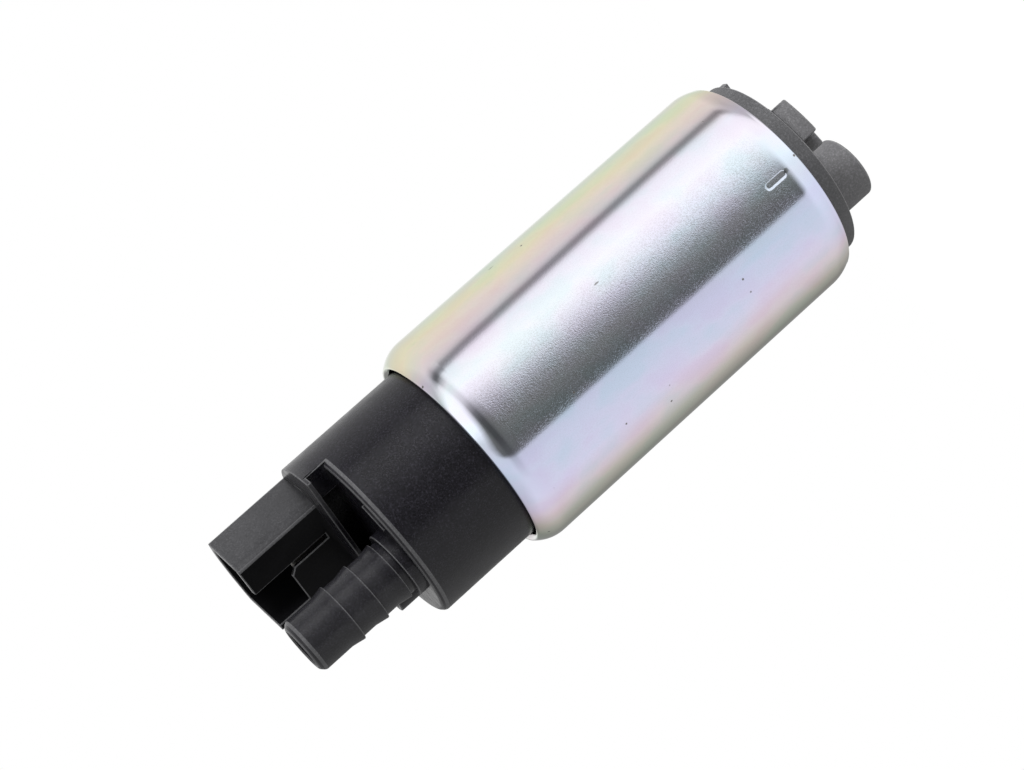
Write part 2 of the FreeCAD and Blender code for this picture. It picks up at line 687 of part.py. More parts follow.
    seat = neck_top + seat_height
    passage = new_sketch(body, "XZ_Plane", "passage_profile", x=nipple_x, z=-nipple_y)
    outline(passage, [
        (0.0, neck_ceiling - seat_gap),
        (throat_radius, neck_ceiling - seat_gap),
        (throat_radius, seat),
        (nipple_bore, seat),
        (nipple_bore, tip + seat_gap),
        (0.0, tip + seat_gap),
    ])
    groove(body, passage, "nipple_passage")
    orifice = neck_top - relief_bottom
    floor = orifice + relief_floor
    escape = new_sketch(body, "XZ_Plane", "escape_profile", x=relief_x, z=-relief_y)
    outline(escape, [
        (0.0, orifice - seat_gap),
        (relief_hole, orifice - seat_gap),
        (relief_hole, floor),
        (relief_bore, floor),
        (relief_bore, neck_top + relief_top + seat_gap),
        (0.0, neck_top + relief_top + seat_gap),
    ])
    groove(body, escape, "relief_passage")
    blades = new_sketch(body, "XY_Plane", "blade_slots", z=plate_top + shroud_wall, turn=angle)
    for side in (-1, 1):
        middle = side * terminal_pitch / 2 - socket_middle
        rectangle(blades, terminal_front - terminal_thickness / 2, middle - terminal_width / 2,
                  terminal_front + terminal_thickness / 2, middle + terminal_width / 2)
    pocket(body, blades, shroud_wall + plate_top - neck_ceiling + seat_gap, "blade_slots")
    return body


def inlet_cover():
    """Moulded cover with the lower side channel, the offset inlet port, a lug, a web and a key."""
    body = new_body("inlet_cover")
    sketch = new_sketch(body, "XZ_Plane", "cover_profile")
    outline(sketch, [
        (0.0, disc_face),
        (disc_radius, disc_face),
        (disc_radius, flange_step),
        (seated_radius, flange_step),
        (seated_radius, cover_face),
        (0.0, cover_face),
    ])
    revolve(body, sketch, "cover_disc")
    lug = new_sketch(body, "XY_Plane", "lug_outline", z=disc_face)
    outer = disc_radius - seat_gap / 2
    lug_inner = disc_radius - lug_width
    outline(lug, [
        (lug_inner * cosine(lug_start), lug_inner * sine(lug_start)),
        (outer * cosine(lug_start), outer * sine(lug_start)),
        (outer * cosine(lug_end), outer * sine(lug_end), outer),
        (lug_inner * cosine(lug_end), lug_inner * sine(lug_end)),
    ])
    pad(body, lug, lug_height, "locating_lug", down=True)
    web = new_sketch(body, "XY_Plane", "web_outline", z=disc_face)
    rectangle(web, web_side - web_width / 2, -web_reach, web_side + web_width / 2,
              -port_radius / 2)
    pad(body, web, web_height, "web", down=True)
    key = new_sketch(body, "XY_Plane", "key_outline", z=disc_face, turn=key_angle)
    key_far = disc_radius - key_inset
    rectangle(key, key_far - key_length, -key_width / 2, key_far, key_width / 2)
    pad(body, key, key_height, "rim_key", down=True)
    port_end = disc_face - port_length
    port = new_sketch(body, "XZ_Plane", "port_profile", x=-port_offset)
    outline(port, [
        (0.0, port_end),
        (port_radius - port_edge, port_end),
        (port_radius, port_end + port_edge),
        (port_radius, disc_face + seat_gap),
        (0.0, disc_face + seat_gap),
    ])
    revolve(body, port, "inlet_port")
    bore = new_sketch(body, "XZ_Plane", "bore_profile", x=-port_offset)
    rectangle(bore, 0.0, port_end - seat_gap, port_bore, port_end + bore_depth)
    groove(body, bore, "inlet_bore")
    link = new_sketch(body, "XY_Plane", "link_outline", z=cover_face)
    rectangle(link, -(channel_radius + channel_half), -channel_half,
              -(port_offset + port_bore - 2 * channel_half), channel_half)
    pocket(body, link, cover_face - port_end - bore_depth + channel_half, "inlet_link")
    channel = new_sketch(body, "XZ_Plane", "channel_profile")
    rectangle(channel, -(channel_radius + channel_half), cover_face - channel_depth,
              -(channel_radius - channel_half), cover_face + seat_gap)
    groove(body, channel, "side_channel", channel_angle)
    bleed = new_sketch(body, "XY_Plane", "bleed_hole", z=cover_face)
    round_hole(bleed, channel_radius / 2, channel_radius * cosine(30.0), bleed_radius)
    pocket(body, bleed, cover_face - disc_face + seat_gap, "vapour_bleed")
    return body


def pump_body():
    """Plate between turbine and motor, with the impeller's chamber, its outlet port and a bush hub."""
    body = new_body("pump_body")
    sketch = new_sketch(body, "XZ_Plane", "body_profile")
    outline(sketch, [
        (0.0, body_face),
        (chamber_radius, body_face),
        (chamber_radius, cover_face),
        (seated_radius, cover_face),
        (seated_radius, body_top),
        (0.0, body_top),
    ])
    revolve(body, sketch, "body_turned")
    hub = new_sketch(body, "XY_Plane", "hub_outline", z=body_top)
    polygon(hub, hub_radius, 12)
    pad(body, hub, hub_rise, "bush_hub")
    bore = new_sketch(body, "XY_Plane", "hub_bore_outline", z=hub_top)
    polygon(bore, bush_radius, 12)
    pocket(body, bore, hub_rise + body_plate, "hub_bore")
    port = new_sketch(body, "XY_Plane", "upper_port_outline", z=body_top, turn=channel_angle - 180)
    rectangle(port, channel_radius - channel_half, -2 * channel_half,
              channel_radius + channel_half, 2 * channel_half)
    pocket(body, port, body_plate, "upper_port")
    return body


# Motor

def bush(label, low, high):
    """A sintered bearing whose outside has twelve flats, so that it cannot turn in its hub."""
    body = new_body(label)
    sketch = new_sketch(body, "XY_Plane", label + "_outline", z=low)
    polygon(sketch, bush_radius, 12)
    round_hole(sketch, 0.0, 0.0, shaft_radius + running_gap)
    pad(body, sketch, high - low, label + "_pad")
    return body


def rotor_shaft():
    """Ground shaft with a driving flat for the impeller."""
    body = new_body("rotor_shaft")
    low = cover_face + face_gap
    high = flange_bottom + bush_length
    sketch = new_sketch(body, "XY_Plane", "shaft_circle", z=low)
    round_hole(sketch, 0.0, 0.0, shaft_radius)
    pad(body, sketch, high - low, "shaft")
    flat = new_sketch(body, "XY_Plane", "flat_outline", z=body_face - face_gap)
    rectangle(flat, shaft_radius - flat_depth, -shaft_radius, shaft_radius * 1.5, shaft_radius)
    pocket(body, flat, impeller_thickness + face_gap, "driving_flat")
    return body


def impeller():
    """Closed turbine wheel: a ring of windows leaves the vanes between hub and rim."""
    body = new_body("impeller")
    top = body_face - face_gap
    sketch = new_sketch(body, "XY_Plane", "wheel_circles", z=top)
    round_hole(sketch, 0.0, 0.0, impeller_radius)
    flat_side = shaft_radius - flat_depth
    half = root(shaft_radius * shaft_radius - flat_side * flat_side)
    outline(sketch, [(flat_side, half), (-shaft_radius, 0.0, shaft_radius), (flat_side, -half, shaft_radius)])
    pad(body, sketch, impeller_thickness, "wheel", down=True)
    window = new_sketch(body, "XY_Plane", "window_outline", z=top)
    rectangle(window, vane_inner, -vane_window / 2, vane_outer, vane_window / 2)
    cut = pocket(body, window, impeller_thickness, "vane_window")
    around(body, cut, window, vane_count, "vane_windows")
    return body


def armature_core():
    """Laminated core with eight poles and winding slots."""
    body = new_body("armature_core")
    low = core_bottom
    sketch = new_sketch(body, "XY_Plane", "core_circles", z=low)
    round_hole(sketch, 0.0, 0.0, core_radius)
    round_hole(sketch, 0.0, 0.0, shaft_radius)
    pad(body, sketch, core_length, "stack")
    slot = new_sketch(body, "XY_Plane", "slot_outline", z=low + core_length)
    neck = core_radius - pole_lip
    outline(slot, [
        (core_yoke, -slot_width / 2),
        (neck, -slot_spread / 2),
        (neck, -slot_mouth / 2),
        (core_radius * 1.05, -slot_mouth / 2),
        (core_radius * 1.05, slot_mouth / 2),
        (neck, slot_mouth / 2),
        (neck, slot_spread / 2),
        (core_yoke, slot_width / 2),
    ])
    cut = pocket(body, slot, core_length, "winding_slot")
    around(body, cut, slot, pole_count, "winding_slots")
    return body


def lobes(sketch, outer):
    """End turns seen along the axis: a bulge over each slot, round a clear space for the shaft."""
    step = 180 / pole_count
    rim = []
    clear = []
    for index in range(2 * int(pole_count)):
        reach = outer if index % 2 == 0 else outer - winding_turn / 8
        rim.append((reach * cosine(step * index), reach * sine(step * index)))
        clear.append((clear_radius * cosine(step * index), clear_radius * sine(step * index)))
    outline(sketch, rim)
    outline(sketch, clear)


def armature_winding():
    """Copper in the slots, joined by the end turns at both ends of the core."""
    body = new_body("armature_winding")
    low = core_bottom
    high = low + core_length
    outer = core_radius - pole_lip - winding_gap
    lower = new_sketch(body, "XY_Plane", "lower_turns", z=low)
    lobes(lower, outer)
    pad(body, lower, winding_turn, "lower_end_turns", down=True)
    bar = new_sketch(body, "XY_Plane", "bar_outline", z=low)
    outline(bar, [
        (core_yoke + winding_gap, -(slot_width / 2 - winding_gap)),
        (outer, -(slot_spread / 2 - winding_gap)),
        (outer, slot_spread / 2 - winding_gap),
        (core_yoke + winding_gap, slot_width / 2 - winding_gap),
    ])
    made = pad(body, bar, core_length, "slot_bar")
    around(body, made, bar, pole_count, "slot_bars")
    upper = new_sketch(body, "XY_Plane", "upper_turns", z=high)
    lobes(upper, outer)
    pad(body, upper, winding_turn, "upper_end_turns")
    return body


def commutator():
    """Face commutator whose slots part the copper segments."""
    body = new_body("commutator")
    sketch = new_sketch(body, "XY_Plane", "segment_circles", z=commutator_bottom)
    round_hole(sketch, 0.0, 0.0, commutator_radius)
    round_hole(sketch, 0.0, 0.0, shaft_radius)
    pad(body, sketch, commutator_height, "segments")
    slot = new_sketch(body, "XY_Plane", "segment_slot", z=commutator_top)
    rectangle(slot, bush_radius, -commutator_slot / 2, commutator_radius * 1.05, commutator_slot / 2)
    cut = pocket(body, slot, commutator_height * 0.6, "slot")
    around(body, cut, slot, pole_count, "slots")
    return body


def arc_piece(label, inner, outer, reach, middle, low, length):
    """A piece of a ring, standing along the pump's axis."""
    body = new_body(label)
    sketch = new_sketch(body, "XY_Plane", label + "_outline", z=low, turn=middle)
    sector(sketch, inner, outer, reach)
    pad(body, sketch, length, label + "_arc")
    return body


def brush_holder():
    """Moulded end plate of the motor: a bush hub, two brush boxes and two choke posts."""
    body = new_body("brush_holder")
    angle = connector_angle
    hub_seat = flange_bottom + bush_length
    sketch = new_sketch(body, "XY_Plane", "plate_outline", z=holder_bottom)
    polygon(sketch, seated_radius, int(holder_corners))
    pad(body, sketch, holder_plate, "plate")
    hub = new_sketch(body, "XY_Plane", "hub_outline", z=flange_bottom)
    polygon(hub, hub_radius, 12)
    pad(body, hub, bush_length + holder_plate, "bush_hub")
    boxes = new_sketch(body, "XY_Plane", "box_outlines", z=flange_bottom, turn=angle)
    across = brush_width / 2 + guide_gap + box_wall
    along = brush_depth / 2 + guide_gap + box_wall
    for side in (-1, 1):
        rectangle(boxes, -across, side * brush_offset - along, across, side * brush_offset + along)
    pad(body, boxes, holder_height, "brush_boxes")
    posts = new_sketch(body, "XY_Plane", "post_outlines", z=flange_bottom, turn=angle)
    for side in (-1, 1):
        polygon(posts, choke_radius, 12, terminal_front, side * terminal_pitch / 2 - socket_middle)
    pad(body, posts, holder_height, "choke_posts")
    channels = new_sketch(body, "XY_Plane", "channel_outlines", z=box_top - box_wall, turn=angle)
    for side in (-1, 1):
        rectangle(channels, box_wall - across, side * brush_offset - along + box_wall,
                  across - box_wall, side * brush_offset + along - box_wall)
    pocket(body, channels, box_top - box_wall - holder_bottom + seat_gap, "brush_channels")
    bore = new_sketch(body, "XY_Plane", "hub_bore_outline", z=hub_seat)
    polygon(bore, bush_radius, 12)
    pocket(body, bore, bush_length + holder_plate, "hub_bore")
    window = new_sketch(body, "XY_Plane", "fuel_window", z=flange_bottom, turn=angle + 180)
    sector(window, commutator_radius, cavity_radius - box_wall, window_half_angle)
    pocket(body, window, holder_plate, "fuel_window")
    return body


def terminal(label, side):
    """A plug blade that goes through the cover's roof, with a tapered tip."""
    body = new_body(label)
    low = box_top + choke_length
    shoulder = plate_top + terminal_reach - terminal_tip
    middle = side * terminal_pitch / 2 - socket_middle
    for level, name in ((low, "blade"), (shoulder, "tip")):
        sketch = new_sketch(body, "XY_Plane", label + "_" + name, z=level, turn=connector_angle)
        rectangle(sketch, terminal_front - terminal_thickness / 2, middle - terminal_width / 2,
                  terminal_front + terminal_thickness / 2, middle + terminal_width / 2)
        made = pad(body, sketch, terminal_tip if name == "tip" else shoulder - low,
                   label + "_" + name + "_pad")
        if name == "tip":
            made.TaperAngle = -15
    return body


def brush(label, side):
    """A carbon brush that stands on the commutator."""
    body = new_body(label)
    sketch = new_sketch(body, "XY_Plane", label + "_outline", z=commutator_top + valve_gap,
                        turn=connector_angle)
    rectangle(sketch, -brush_width / 2, side * brush_offset - brush_depth / 2,
              brush_width / 2, side * brush_offset + brush_depth / 2)
    pad(body, sketch, brush_length, label + "_block")
    return body


def valve_cage():
    """Spoked guide of the check valve's stem, held in the nipple's bore."""
    body = new_body("check_valve_cage")
    sketch = new_sketch(body, "XY_Plane", "cage_circles", z=spring_top, x=nipple_x, y=nipple_y)
    round_hole(sketch, 0.0, 0.0, valve_coil + valve_wire / 2)
    round_hole(sketch, 0.0, 0.0, stem_radius + guide_gap)
    pad(body, sketch, cage_height, "cage_hub")
    arm = new_sketch(body, "XY_Plane", "cage_arm", z=spring_top, x=nipple_x, y=nipple_y)
    reach = root(nipple_bore * nipple_bore - cage_arm * cage_arm / 4)
    rectangle(arm, valve_coil, -cage_arm / 2, reach, cage_arm / 2)
    made = pad(body, arm, cage_height, "cage_arm_pad")
    around(body, made, arm, cage_arms, "cage_arms")
    return body


# The pieces, from the outside in

pump_case()
outlet_cover()
inlet_cover()

# Check valve and relief valve
valve_seat = neck_top + seat_height
head_low = valve_seat + 2 * valve_gap
head_top = head_low + plunger_rim
spring_top = head_top + valve_spring_length
turned("check_valve_plunger", [
    (0.0, head_low),
    (plunger_radius, head_low),
    (plunger_radius, head_top),
    (stem_radius, head_top),
    (stem_radius, head_top + stem_length),
    (0.0, head_top + stem_length),
], nipple_x, nipple_y)
spring("check_valve_spring", nipple_x, nipple_y, head_top, valve_spring_length,
       valve_coil, valve_wire, 3)
valve_cage()
relief_seat = neck_top - relief_bottom + relief_floor
poppet_low = relief_seat + 2 * valve_gap
coil_low = poppet_low + poppet_height
turned("relief_valve_poppet", [
    (0.0, poppet_low),
    (poppet_radius, poppet_low),
    (poppet_radius, coil_low),
    (0.0, coil_low),
], relief_x, relief_y)
spring("relief_valve_spring", relief_x, relief_y, coil_low, relief_spring_length,
       relief_coil, relief_wire, 4)
plug_low = coil_low + relief_spring_length
plug = new_body("relief_valve_plug")
plug_circle = new_sketch(plug, "XY_Plane", "plug_circle", z=plug_low, x=relief_x, y=relief_y)
round_hole(plug_circle, 0.0, 0.0, relief_bore)
rectangle(plug_circle, -plug_vent, -plug_vent, plug_vent, plug_vent)
pad(plug, plug_circle, neck_top + relief_top - plug_recess - plug_low, "plug_pad")

# Terminals, chokes, brushes and their springs, one set for each pole
brush_holder()
brush_top = commutator_top + valve_gap + brush_length
for pole, side in (("positive", -1), ("negative", 1)):
    brush_x = -side * brush_offset * sine(connector_angle)
    brush_y = side * brush_offset * cosine(connector_angle)
    lead_offset = brush_offset + brush_coil + brush_wire / 2 + lead_radius + guide_gap / 2
    lead_x = -side * lead_offset * sine(connector_angle)
    lead_y = side * lead_offset * cosine(connector_angle)
    ceiling = box_top - box_wall
    terminal(pole + "_terminal", side)
    choke = new_body(pole + "_choke")
    section = new_sketch(choke, "XY_Plane", pole + "_choke_outline", z=box_top, turn=connector_angle)
    polygon(section, choke_radius, 12, terminal_front, side * terminal_pitch / 2 - socket_middle)
    pad(choke, section, choke_length, pole + "_choke_pad")
    brush(pole + "_brush", side)
    spring(pole + "_brush_spring", brush_x, brush_y, brush_top, ceiling - brush_top,
           brush_coil, brush_wire, 3)
    lead = new_body(pole + "_brush_lead")
    strand = new_sketch(lead, "XY_Plane", pole + "_lead_outline", z=brush_top, x=lead_x, y=lead_y)
    rectangle(strand, -lead_radius, -lead_radius, lead_radius, lead_radius)
    pad(lead, strand, ceiling - brush_top, pole + "_lead_strand")

# Bushes, rotor and magnets
bush("upper_bush", flange_bottom, flange_bottom + bush_length)
bush("lower_bush", body_face, hub_top)
rotor_shaft()
commutator()
armature_core()
armature_winding()
arc_piece("magnet_north", magnet_inside, seated_radius, magnet_half_angle, connector_angle,
          body_top, magnet_length)
arc_piece("magnet_south", magnet_inside, seated_radius, magnet_half_angle, connector_angle + 180,
          body_top, magnet_length)
arc_piece("magnet_clip", seated_radius - clip_thickness, seated_radius, clip_half_angle,
          connector_angle - 90, body_top, magnet_length)

# Turbine stage
pump_body()
impeller()

doc.recompute()

faults = []
for item in doc.Objects:
    if "Invalid" in item.State or "Error" in item.State:
        faults.append(item.Label + ": " + ", ".join(item.State))
bodies = [item for item in doc.Objects if item.TypeId in ("PartDesign::Body", "Part::Feature")]
for item in bodies:
    if item.Shape.isNull() or not item.Shape.isValid():
        faults.append(item.Label + ": no valid shape")
    elif len(item.Shape.Solids) != 1:
        faults.append("%s: %d solids" % (item.Label, len(item.Shape.Solids)))
if faults:
    raise RuntimeError("\n".join(faults))

os.makedirs("parts", exist_ok=True)
for item in bodies:
    item.Shape.exportStep("parts/" + item.Label + ".step")
    print("%-24s %10.2f mm3" % (item.Label, item.Shape.Volume))
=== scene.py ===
import json
import math

import bmesh
import bpy
from mathutils import Matrix, Vector

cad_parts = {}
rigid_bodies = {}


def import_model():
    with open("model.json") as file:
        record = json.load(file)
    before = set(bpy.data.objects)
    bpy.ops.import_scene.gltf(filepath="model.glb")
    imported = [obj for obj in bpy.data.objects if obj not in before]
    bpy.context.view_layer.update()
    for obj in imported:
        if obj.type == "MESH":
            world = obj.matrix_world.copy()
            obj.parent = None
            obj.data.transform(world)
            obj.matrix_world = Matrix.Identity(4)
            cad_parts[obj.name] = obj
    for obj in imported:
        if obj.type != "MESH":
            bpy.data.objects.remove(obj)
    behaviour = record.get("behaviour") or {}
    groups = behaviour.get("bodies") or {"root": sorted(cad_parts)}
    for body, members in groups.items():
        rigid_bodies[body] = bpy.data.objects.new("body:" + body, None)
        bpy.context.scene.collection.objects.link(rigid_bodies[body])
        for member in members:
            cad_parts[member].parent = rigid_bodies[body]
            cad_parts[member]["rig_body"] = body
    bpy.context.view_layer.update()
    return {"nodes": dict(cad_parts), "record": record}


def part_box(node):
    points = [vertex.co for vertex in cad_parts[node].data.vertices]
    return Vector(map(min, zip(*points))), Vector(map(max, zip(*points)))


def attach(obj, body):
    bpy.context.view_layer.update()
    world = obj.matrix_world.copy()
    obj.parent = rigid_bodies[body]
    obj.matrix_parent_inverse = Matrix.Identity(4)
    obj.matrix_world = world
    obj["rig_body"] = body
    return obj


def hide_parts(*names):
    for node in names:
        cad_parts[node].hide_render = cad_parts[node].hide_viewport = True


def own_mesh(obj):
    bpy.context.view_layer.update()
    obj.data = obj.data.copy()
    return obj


# Electric in-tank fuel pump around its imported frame. Origin on the pump's axis in the middle of the
# case, +Z towards the outlet, the photograph taken from -Y. Lengths are in metres and written as
# millimetres times MM; the rules for the covers' edges and faces work in millimetres.

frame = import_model()
nodes = frame["nodes"]
MM = 0.001
SLOTS = {row["node"]: row["material_slot"] for row in frame["record"]["subparts"]}
PLUG_ANGLE = math.radians(50)
POLES = ("positive", "negative")


# Helpers for meshes

def clamp(value, low, high):
    """A value kept between two others."""
    return max(low, min(high, value))


def even_steps(start, end, count):
    """Even steps from a start, which is left out, to an end."""
    return [start + (end - start) * step / count for step in range(1, count + 1)]


def on_circle(centre, radius, degrees):
    """A point at an angle on a circle in the plane of radius and height."""
    angle = math.radians(degrees)
    return centre[0] + radius * math.cos(angle), centre[1] + radius * math.sin(angle)


def arc_points(centre, radius, start, end, steps):
    """Points of an arc in the plane of radius and height, with its start and its end."""
    return [on_circle(centre, radius, start + (end - start) * step / steps)
            for step in range(steps + 1)]


def finished(name, made):
    """The mesh of a bmesh, which is freed."""
    mesh = bpy.data.meshes.new(name)
    made.to_mesh(mesh)
    made.free()
    return mesh


def lathe(name, profile, azimuths, depth):
    """A closed profile of radius and height turned about the pump's axis, with a mark of some depth."""
    made = bmesh.new()
    rows = []
    for radius, height in profile:
        row = []
        for azimuth in azimuths:
            reach = radius - depth(azimuth, height)
            row.append(made.verts.new((reach * math.sin(azimuth), -reach * math.cos(azimuth), height)))
        rows.append(row)
    for row, above in zip(rows, rows[1:] + rows[:1]):
        for index in range(len(azimuths)):
            beside = (index + 1) % len(azimuths)
            made.faces.new((row[index], row[beside], above[beside], above[index]))
    for face in made.faces:
        face.smooth = True
    bmesh.ops.recalc_face_normals(made, faces=made.faces)
    return finished(name, made)


def wires(name, paths, radius, closed=False, detail=2):
    """Round wire along each path of points, as one mesh."""
    data = bpy.data.curves.new(name, "CURVE")
    data.dimensions = "3D"
    data.bevel_depth = radius
    data.bevel_resolution = detail
    data.use_fill_caps = True
    for path in paths:
        line = data.splines.new("POLY")
        line.points.add(len(path) - 1)
        for point, place in zip(line.points, path):
            point.co = (*place, 1)
        line.use_cyclic_u = closed
    curve = bpy.data.objects.new(name, data)
    mesh = bpy.data.meshes.new_from_object(curve)
    mesh.name = name
    bpy.data.objects.remove(curve)
    mesh.shade_smooth()
    return mesh


def helix(centre, low, height, radius, turns, flat_turns=0.0, start=0.0, steps=28):
    """Points of a coil that rises from low by height, with flat turns at its two ends."""
    points = []
    count = round(turns * steps)
    for index in range(count + 1):
        turn = turns * index / count
        share = clamp((turn - flat_turns) / (turns - 2 * flat_turns), 0.0, 1.0)
        angle = 2 * math.pi * turn + start
        points.append((centre[0] + radius * math.cos(angle), centre[1] + radius * math.sin(angle),
                       low + height * share))
    return points


# Helpers for materials

MATERIALS = {}


def material(name, colour, metallic, roughness):
    """A new material under its name, with its node tree and its shader."""
    made = bpy.data.materials.new(name)
    MATERIALS[name] = made
    made.use_nodes = True
    shader = made.node_tree.nodes["Principled BSDF"]
    shader.inputs["Base Color"].default_value = (*colour, 1)
    shader.inputs["Metallic"].default_value = metallic
    shader.inputs["Roughness"].default_value = roughness
    return made.node_tree, shader


def add_node(tree, kind, values=None, **settings):
    """A shader node with its settings and the values of its sockets."""
    made = tree.nodes.new("ShaderNode" + kind)
    for key, value in settings.items():
        setattr(made, key, value)
    for key, value in (values or {}).items():
        made.inputs[key].default_value = value
    return made


def feed(tree, socket, part):
    """Gives a socket a number, a colour or another socket's output."""
    if isinstance(part, tuple):
        socket.default_value = (*part, 1)
    elif isinstance(part, (int, float)):
        socket.default_value = part
    else:
        tree.links.new(part, socket)


def calculate(tree, operation, *parts):
    """One operation on sockets or numbers."""
    made = add_node(tree, "Math", operation=operation)
    for socket, part in zip(made.inputs, parts):
        feed(tree, socket, part)
    return made.outputs[0]


def between(tree, value, start, end, top=1.0):
    """0 where a value is at the start, the top where it is at the end, and even in between."""
    made = add_node(tree, "MapRange", {"From Min": start, "From Max": end, "To Max": top})
    tree.links.new(value, made.inputs["Value"])
    return made.outputs["Result"]


def blend(tree, share, first, second, mode="MIX"):
    """Two colours mixed by a share, each a socket or a colour."""
    made = add_node(tree, "Mix", data_type="RGBA", blend_type=mode)
    for key, part in (("Factor", share), ("A", first), ("B", second)):
        feed(tree, made.inputs[key], part)
    return made.outputs["Result"]


def tinted(tree, first, second):
    """The product of two colours."""
    return blend(tree, 1.0, first, second, "MULTIPLY")


def ramp(tree, source, stops):
    """A colour ramp from places between 0 and 1 to colours or grey levels."""
    made = add_node(tree, "ValToRGB")
    elements = made.color_ramp.elements
    while len(elements) < len(stops):
        elements.new(0.5)
    for element, (place, colour) in zip(elements, stops):
        element.position = place
        element.color = (*colour, 1) if isinstance(colour, tuple) else (colour, colour, colour, 1)
    tree.links.new(source, made.inputs["Fac"])
    return made.outputs["Color"]


def azimuth_ramp(tree, share, stops):
    """A colour ramp over an azimuth's share of the turn, with its stops in degrees."""
    return ramp(tree, share, [((degrees + 180) / 360, colour) for degrees, colour in stops])


def object_position(tree, stretch=(1, 1, 1), turn=(0, 0, 0)):
    """The object's own coordinates, stretched and turned."""
    made = add_node(tree, "Mapping", {"Scale": stretch, "Rotation": turn})
    tree.links.new(add_node(tree, "TexCoord").outputs["Object"], made.inputs["Vector"])
    return made.outputs["Vector"]


def axes_of(tree, vector):
    """The x, y and z of a vector."""
    apart = add_node(tree, "SeparateXYZ")
    tree.links.new(vector, apart.inputs["Vector"])
    return apart.outputs["X"], apart.outputs["Y"], apart.outputs["Z"]


def azimuth_share(tree, direction):
    """Angle about the pump's axis from -Y towards +X, 0 at -180 degrees and 1 at 180, and the height."""
    x, y, z = axes_of(tree, direction)
    angle = calculate(tree, "ARCTAN2", x, calculate(tree, "MULTIPLY", y, -1.0))
    return between(tree, angle, -math.pi, math.pi), z


def noise(tree, scale, detail=3.0, stretch=(1, 1, 1), roughness=0.5):
    """Noise over the object's own coordinates, with its scale per metre."""
    made = add_node(tree, "TexNoise", {"Scale": scale, "Detail": detail, "Roughness": roughness})
    tree.links.new(object_position(tree, stretch), made.inputs["Vector"])
    return made.outputs["Fac"]


def specks(tree, scale, size, share, stretch=(1, 1, 1)):
    """Sparse marks: 1 near the middle of a share of the cells, 0 elsewhere."""
    cells = add_node(tree, "TexVoronoi", {"Scale": scale})
    tree.links.new(object_position(tree, stretch), cells.inputs["Vector"])
    near = ramp(tree, cells.outputs["Distance"], [(size * 0.6, 1.0), (size, 0.0)])
    apart = add_node(tree, "SeparateColor")
    tree.links.new(cells.outputs["Color"], apart.inputs["Color"])
    chosen = calculate(tree, "LESS_THAN", apart.outputs["Red"], share)
    return calculate(tree, "MULTIPLY", near, chosen)


def bump(tree, shader, height, distance, strength=1.0):
    """Relief on top of the relief that a shader already has."""
    made = add_node(tree, "Bump", {"Strength": strength, "Distance": distance})
    tree.links.new(height, made.inputs["Height"])
    normal = shader.inputs["Normal"]
    if normal.is_linked:
        tree.links.new(normal.links[0].from_socket, made.inputs["Normal"])
    tree.links.new(made.outputs["Normal"], normal)


# Materials

HALF_MILLIMETRE_WAVES = 628.0
WHITE = (1.0, 1.0, 1.0)
PLAIN_ZINC = (0.78, 0.78, 0.80)
PASSIVATION_TINTS = [
    (-150, PLAIN_ZINC),
    (-90, (0.80, 0.80, 0.77)),
    (-72, (0.81, 0.83, 0.70)),
    (-63, (0.85, 0.785, 0.71)),
    (-55, (0.845, 0.745, 0.81)),
    (-47, (0.79, 0.73, 0.89)),
    (-38, (0.75, 0.745, 0.95)),
    (-20, (0.70, 0.755, 0.965)),
    (-4, (0.715, 0.785, 0.905)),
    (8, (0.74, 0.785, 0.91)),
    (24, (0.785, 0.79, 0.845)),
    (37, (0.78, 0.76, 0.86)),
    (48, (0.855, 0.755, 0.755)),
    (55, (0.885, 0.78, 0.67)),
    (61, (0.89, 0.825, 0.59)),
    (68, (0.85, 0.865, 0.60)),
    (80, (0.77, 0.84, 0.69)),
    (98, (0.79, 0.82, 0.76)),
    (150, PLAIN_ZINC),
]


def passivation(tree, share):
    """Tints that wander round the case, under soft clouds."""
    slow = calculate(tree, "ADD", noise(tree, 130, 3.0, (1, 1, 0.35)), -0.5)
    wander = calculate(tree, "MULTIPLY", slow, 0.060)
    tint = azimuth_ramp(tree, calculate(tree, "ADD", share, wander), PASSIVATION_TINTS)
    clouds = ramp(tree, noise(tree, 190, 3.0, (1, 1, 0.6)), [
        (0.36, (0.915, 1.0, 0.975)),
        (0.50, WHITE),
        (0.64, (1.0, 0.94, 0.975)),
    ])
    return tinted(tree, tint, clouds)


def rubbed_stripe(tree, share, height):
    """1 on the straight wall where it faces ahead, 0.12 round the rest of it, 0 on its rolled ends."""
    straight_wall = between(tree, calculate(tree, "ABSOLUTE", height), 30 * MM, 28 * MM)
    ahead = azimuth_ramp(tree, share, [(-17, 0.12), (-14, 0.85), (-8, 1.0), (8, 1.0), (24, 0.12)])
    return calculate(tree, "MULTIPLY", ahead, straight_wall)


def pits_and_ticks(tree):
    """1 on sparse round pits, 0.7 on sparse ticks along the case."""
    pits = specks(tree, 460, 0.12, 0.07)
    ticks = specks(tree, 560, 0.10, 0.04, (1, 1, 0.30))
    return calculate(tree, "MAXIMUM", pits, calculate(tree, "MULTIPLY", ticks, 0.7))


